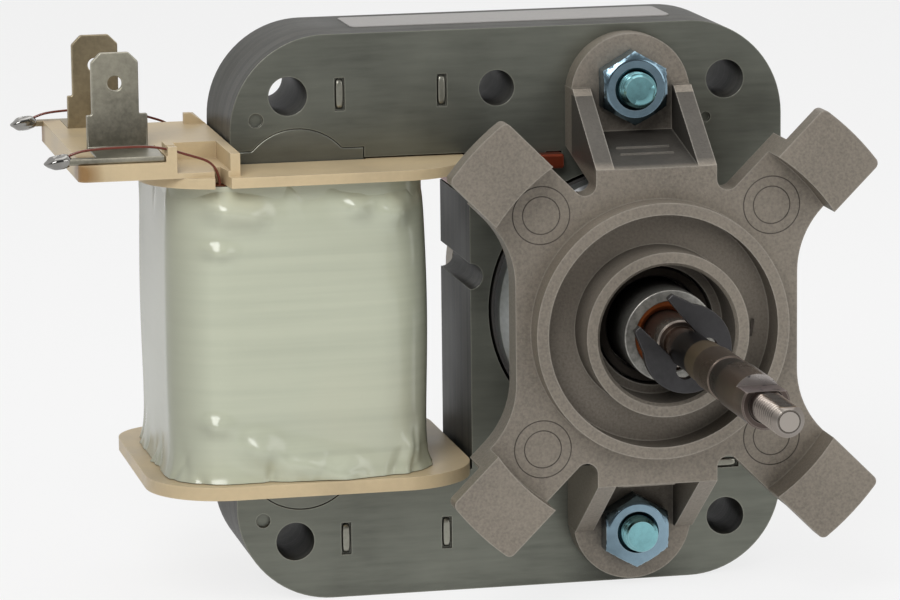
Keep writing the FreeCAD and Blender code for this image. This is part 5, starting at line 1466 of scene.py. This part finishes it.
@dataclass
class Shaft:
    """The turned shaft with its flat and its fine thread, in millimetres."""

    journal: float = 3.1
    bevel: float = 0.22
    crest: float = 2.08
    pitch: float = 0.8
    thread_depth: float = 0.42
    thread_fade: float = 0.3
    thread: Pair = (-79.0, -71.0)
    flat_height: float = 1.7
    flat_start: float = -65.6
    columns: int = 96
    sharp: float = 30.0

    def _profile(self) -> Outline:
        """Work out the shaft's outline from the rear end to the tip.

        Returns:
            Corners as (radius, y), in millimetres.
        """
        journal, crest, bevel = self.journal, self.crest, self.bevel
        start, end = self.thread
        turns = [(crest, start + (end - start) * share)
                 for share in np.linspace(1.0, 0.0, int((end - start) / self.pitch * 14))]
        return [(0.0, 41.0), (journal - bevel, 41.0), (journal, 41.0 - bevel),
                (journal, 29.35), (3.6, 29.35), (3.6, -10.35), (journal, -10.35),
                (journal, -29.3 + bevel), (journal - bevel, -29.3), (2.35, -29.3),
                (2.35, -33.5), (2.42, -33.5), (2.5, -33.58), (2.5, -41.0),
                (2.58, -41.0), (2.7, -41.12), (2.7, -46.2), (2.8, -46.2),
                (2.95, -46.35), (2.95, -53.15), (2.8, -53.3), (2.8, -57.35),
                (journal - 0.1, -57.5), (journal, -57.6), (journal, self.flat_start),
                (journal, self.flat_start - 0.02), (journal, -69.8 + bevel),
                (journal - bevel, -69.8), (2.3, -69.8), (2.15, -69.6), (1.65, -69.6),
                (1.65, -70.8), (crest, -71.0), *turns, (crest, -79.1), (1.42, -79.76),
                (1.38, -79.8), (0.0, -79.8)]

    def _cut(self, radius: Array, place: Array, angle: Array) -> Array:
        """Lower the radius by a rounded helical groove and by the flat.

        The groove is faded at both ends of the thread. The flat holds r cos a at its height.

        Args:
            radius: Radius at each point.
            place: Its place along the shaft.
            angle: Its angle from straight up.

        Returns:
            The new radius.
        """
        start, end = self.thread
        inside = (np.clip((place - start) / self.thread_fade, 0.0, 1.0)
                  * np.clip((end - place) / self.thread_fade, 0.0, 1.0))
        groove = inside * helix(place, angle, self.pitch) ** 0.8
        radius = radius - self.thread_depth * groove
        over = (place < self.flat_start - 0.01) & (radius * np.cos(angle) > self.flat_height)
        return np.where(over, self.flat_height / np.maximum(np.cos(angle), 0.1), radius)

    def build(self) -> None:
        """Turn the outline round the axis."""
        points = turned_surface(self._profile(), (AXIS_X / MM, 0.0), self.columns, self._cut)
        self.bar = grid_piece("fan_shaft", points)
        smooth(self.bar.data, self.sharp)

    def dress(self) -> None:
        """Give the shaft its heat tints."""
        settle(self.bar, Look.SHAFT, "shaft_steel", "rotor_shaft", ride=Ride.ROTOR)


@dataclass
class ThroughBolts:
    """The two through bolts with their thread and the two nuts, in millimetres.

    Nut and head are (near, far) in y, where the near face is the turned one.
    """

    reach: float = 30.3
    radius: float = 2.4
    pitch: float = 0.8
    groove: float = 0.34
    thread_start: float = -1.9
    flats: float = 8.7
    rim: float = 8.7 * 0.449
    slope: float = 1.75
    nut: Pair = (-6.6, -3.4)
    nut_gap: float = 0.03
    head: Pair = (25.8, 22.4)
    end: float = -8.6

    def _hexagon(self, name: str, centre: Pair, faces: Pair, bore: float) -> Piece:
        """Turn a nut, or a head where the bore is nothing, and hold it to its hexagon.

        Args:
            name: Name of the piece.
            centre: The axis as (x, z).
            faces: The turned face and the flat one, in y.
            bore: Radius of the hole.

        Returns:
            The linked piece.
        """
        near, far = faces
        way = 1.0 if far > near else -1.0
        sink = (bore, near + way * 0.42)
        wall = [(6.0, near + way * depth) for depth in (0.0, 0.12, 0.3, 0.5, 0.7)]
        profile = [(bore + 0.45 if bore else 0.0, near), (self.rim * 0.97, near), *wall,
                   (6.0, far), (bore, far)]
        if bore:
            profile = [sink, *profile, sink]

        def rule(radius: Array, place: Array, angle: Array) -> Array:
            """Hold the outer radius to the hexagon and to the cone at the near face.

            Args:
                radius: Radius at each point.
                place: Its place along the axis.
                angle: Its angle from straight up.

            Returns:
                The new radius.
            """
            cone = self.rim + np.abs(place - near) * self.slope
            limit = np.minimum(hexagon_radius(angle, self.flats), cone)
            return np.where(radius > bore + 1.0, np.minimum(radius, limit), radius)

        return grid_piece(name, turned_surface(profile, centre, 96, rule, 1.2))

    def _thread(self, radius: Array, place: Array, angle: Array) -> Array:
        """Cut a helical groove into the front stretch of the rod."""
        inside = (place < self.thread_start) & (radius > 2.0)
        return radius - np.where(inside, self.groove * helix(place, angle, self.pitch), 0.0)

    def build(self) -> None:
        """Make the rods with threads, the heads and the nuts."""
        rods, nuts = [], []
        threaded = np.linspace(-2.0, self.end + 0.3, 110)
        rod = [(0.0, self.head[1]), (self.radius, self.head[1]),
               (self.radius, self.thread_start), *[(self.radius, y) for y in threaded],
               (self.radius - 0.5, self.end), (1.2, self.end + 0.02), (0.0, self.end + 0.03)]
        for side in (1.0, -1.0):
            centre = (AXIS_X / MM, self.reach * side)
            rods.append(grid_piece("rod", turned_surface(rod, centre, 64, self._thread)))
            rods.append(self._hexagon("head", centre, self.head, 0.0))
            nuts.append(self._hexagon("nut", centre, self.nut, self.radius + self.nut_gap))
        self.rods = joined("threaded_bolts", rods)
        self.nuts = joined("hex_nuts", nuts)

    def dress(self) -> None:
        """Give both their blue zinc."""
        settle(self.rods, Look.STUD, "zinc_steel", "through_bolts")
        settle(self.nuts, Look.ZINC, "zinc_steel", "nuts")


@dataclass
class Studio:
    """Floor, backdrop, lamps, world and the camera, in millimetres and degrees.

    Each lamp is its name, place, width and power in watts.
    """

    camera_at: Triple = (-138.655, -611.834, 117.910)
    yaw: float = -12.0210
    pitch: float = -10.2900
    roll: float = 0.65844
    focal_pixels: float = 4725.86
    centre_pixel: Pair = (449.312, 281.113)
    image: tuple[int, int] = (900, 600)
    sensor: float = 36.0
    half_floor: float = 2600.0
    front: float = -3000.0
    back: float = 1300.0
    bend: float = 500.0
    wall: float = 2200.0
    aim: Triple = (-5.0, -10.0, 0.0)
    lamps: tuple[tuple[str, Triple, float, float], ...] = (
        ("key", (-420, -700, 620), 520, 6.2), ("fill", (620, -560, 260), 520, 1.6),
        ("top", (40, 120, 760), 620, 1.2))

    def build(self) -> None:
        """Make the stage, the lamps and the camera."""
        self._stage()
        self._world()
        for lamp in self.lamps:
            self._lamp(*lamp)
        self._camera()

    def _stage(self) -> None:
        """Lay a pale floor that curves up behind the motor; its glow fades to grey far in front
        of it, a painted shade that metal mirrors.
        """
        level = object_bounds()[0][2] / MM
        angle = np.linspace(0.0, math.pi / 2, 14)
        curve = np.stack([self.back + self.bend * np.sin(angle),
                          level + self.bend * (1 - np.cos(angle))], axis=-1)
        rows = np.concatenate([[(self.front, level)], curve,
                               [(self.back + self.bend, level + self.wall)]])
        points = np.empty((len(rows), 2, 3))
        points[..., 0] = [[-self.half_floor, self.half_floor]]
        points[..., 1:] = rows[:, None, :]
        floor = grid_piece("studio_floor", points * MM, False)
        made = bpy.data.materials.new("studio_white")
        wires = Wires.fresh(made)
        # Painted shade: the floor's glow, seen by the camera and in mirrors, fades to grey far
        # in front.
        tone = wires.ramp(wires.band(wires.split(wires.place())[1], -0.7, -0.1),
                          [(0.0, grey(0.16)), (1.0, grey(1.0))])
        plain = wires.node("BsdfDiffuse", {"Color": grey(0.8)})
        glow = wires.node("Emission", {"Color": tone, "Strength": 1.0})
        mixed = wires.node("MixShader", {0: wires.times(wires.seen(), 0.8),
                                         1: plain.outputs[0], 2: glow.outputs[0]})
        wires.node("OutputMaterial", {"Surface": mixed.outputs[0]})
        floor.data.materials.append(made)
        floor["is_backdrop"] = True

    def _world(self) -> None:
        """Give an even pale sky for light, and for camera and mirror rays a white backdrop.

        Behind the camera the mirrored room turns grey.
        """
        world = bpy.data.worlds.new("studio_air")
        bpy.context.scene.world = world
        wires = Wires.fresh(world)
        ahead = wires.split(wires.node("TexCoord").outputs["Generated"])[1]
        room = wires.ramp(wires.band(ahead, -0.7, 0.3), [(0.0, grey(0.1)), (1.0, grey(1.0))])
        air = wires.node("Background", {"Color": wires.mix(wires.seen(), grey(0.3), room),
                                        "Strength": 1.0})
        wires.node("OutputWorld", {"Surface": air.outputs[0]})

    def _lamp(self, name: str, place: Triple, size: float, power: float) -> None:
        """Hang one square soft lamp that faces the motor.

        Args:
            name: Name of the lamp.
            place: Where it hangs, in millimetres.
            size: Width of its face, in millimetres.
            power: Power in watts.
        """
        light = bpy.data.lights.new(name, "AREA")
        light.shape = "SQUARE"
        light.size = size * MM
        light.energy = power
        spot = np.array(place) * MM
        back = spot - np.array(self.aim) * MM
        back = back / np.linalg.norm(back)
        side = np.cross([0.0, 0.0, 1.0], back)
        side = side / np.linalg.norm(side)
        turn = np.eye(4)
        turn[:3] = np.stack([side, np.cross(back, side), back, spot], axis=-1)
        linked(name, light).matrix_world = Matrix(turn.tolist())

    def _camera(self) -> None:
        """Set the camera solved from the photograph."""
        data = bpy.data.cameras.new("camera")
        camera = linked("camera", data)
        camera.matrix_world = (
            Matrix.Translation([value * MM for value in self.camera_at])
            @ (Matrix.Rotation(math.radians(self.yaw), 4, "Z")
               @ Matrix.Rotation(math.radians(self.pitch), 4, "X")
               @ Matrix.Rotation(math.radians(self.roll), 4, "Y")
               @ Matrix.Rotation(math.pi / 2, 4, "X")))
        width, height = self.image
        data.sensor_width = self.sensor
        data.lens = self.focal_pixels * self.sensor / width
        data.shift_x = (width / 2 - self.centre_pixel[0]) / width
        data.shift_y = -(height / 2 - self.centre_pixel[1]) / width
        data.clip_start = 0.05
        data.clip_end = 20.0
        bpy.context.scene.camera = camera


def main() -> None:
    """Build, dress and measure the whole motor."""
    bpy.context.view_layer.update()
    bpy.context.scene.view_settings.view_transform = "Standard"
    for part in (LaminationStack(), TapedCoil(), BobbinAndTerminals(), FrontBracket(),
                 PlainPieces(), Shaft(), ThroughBolts()):
        part.build()
        part.dress()
        log.info("%s is done", type(part).__name__)
    Studio().build()


if __name__ == "__main__":
    main()
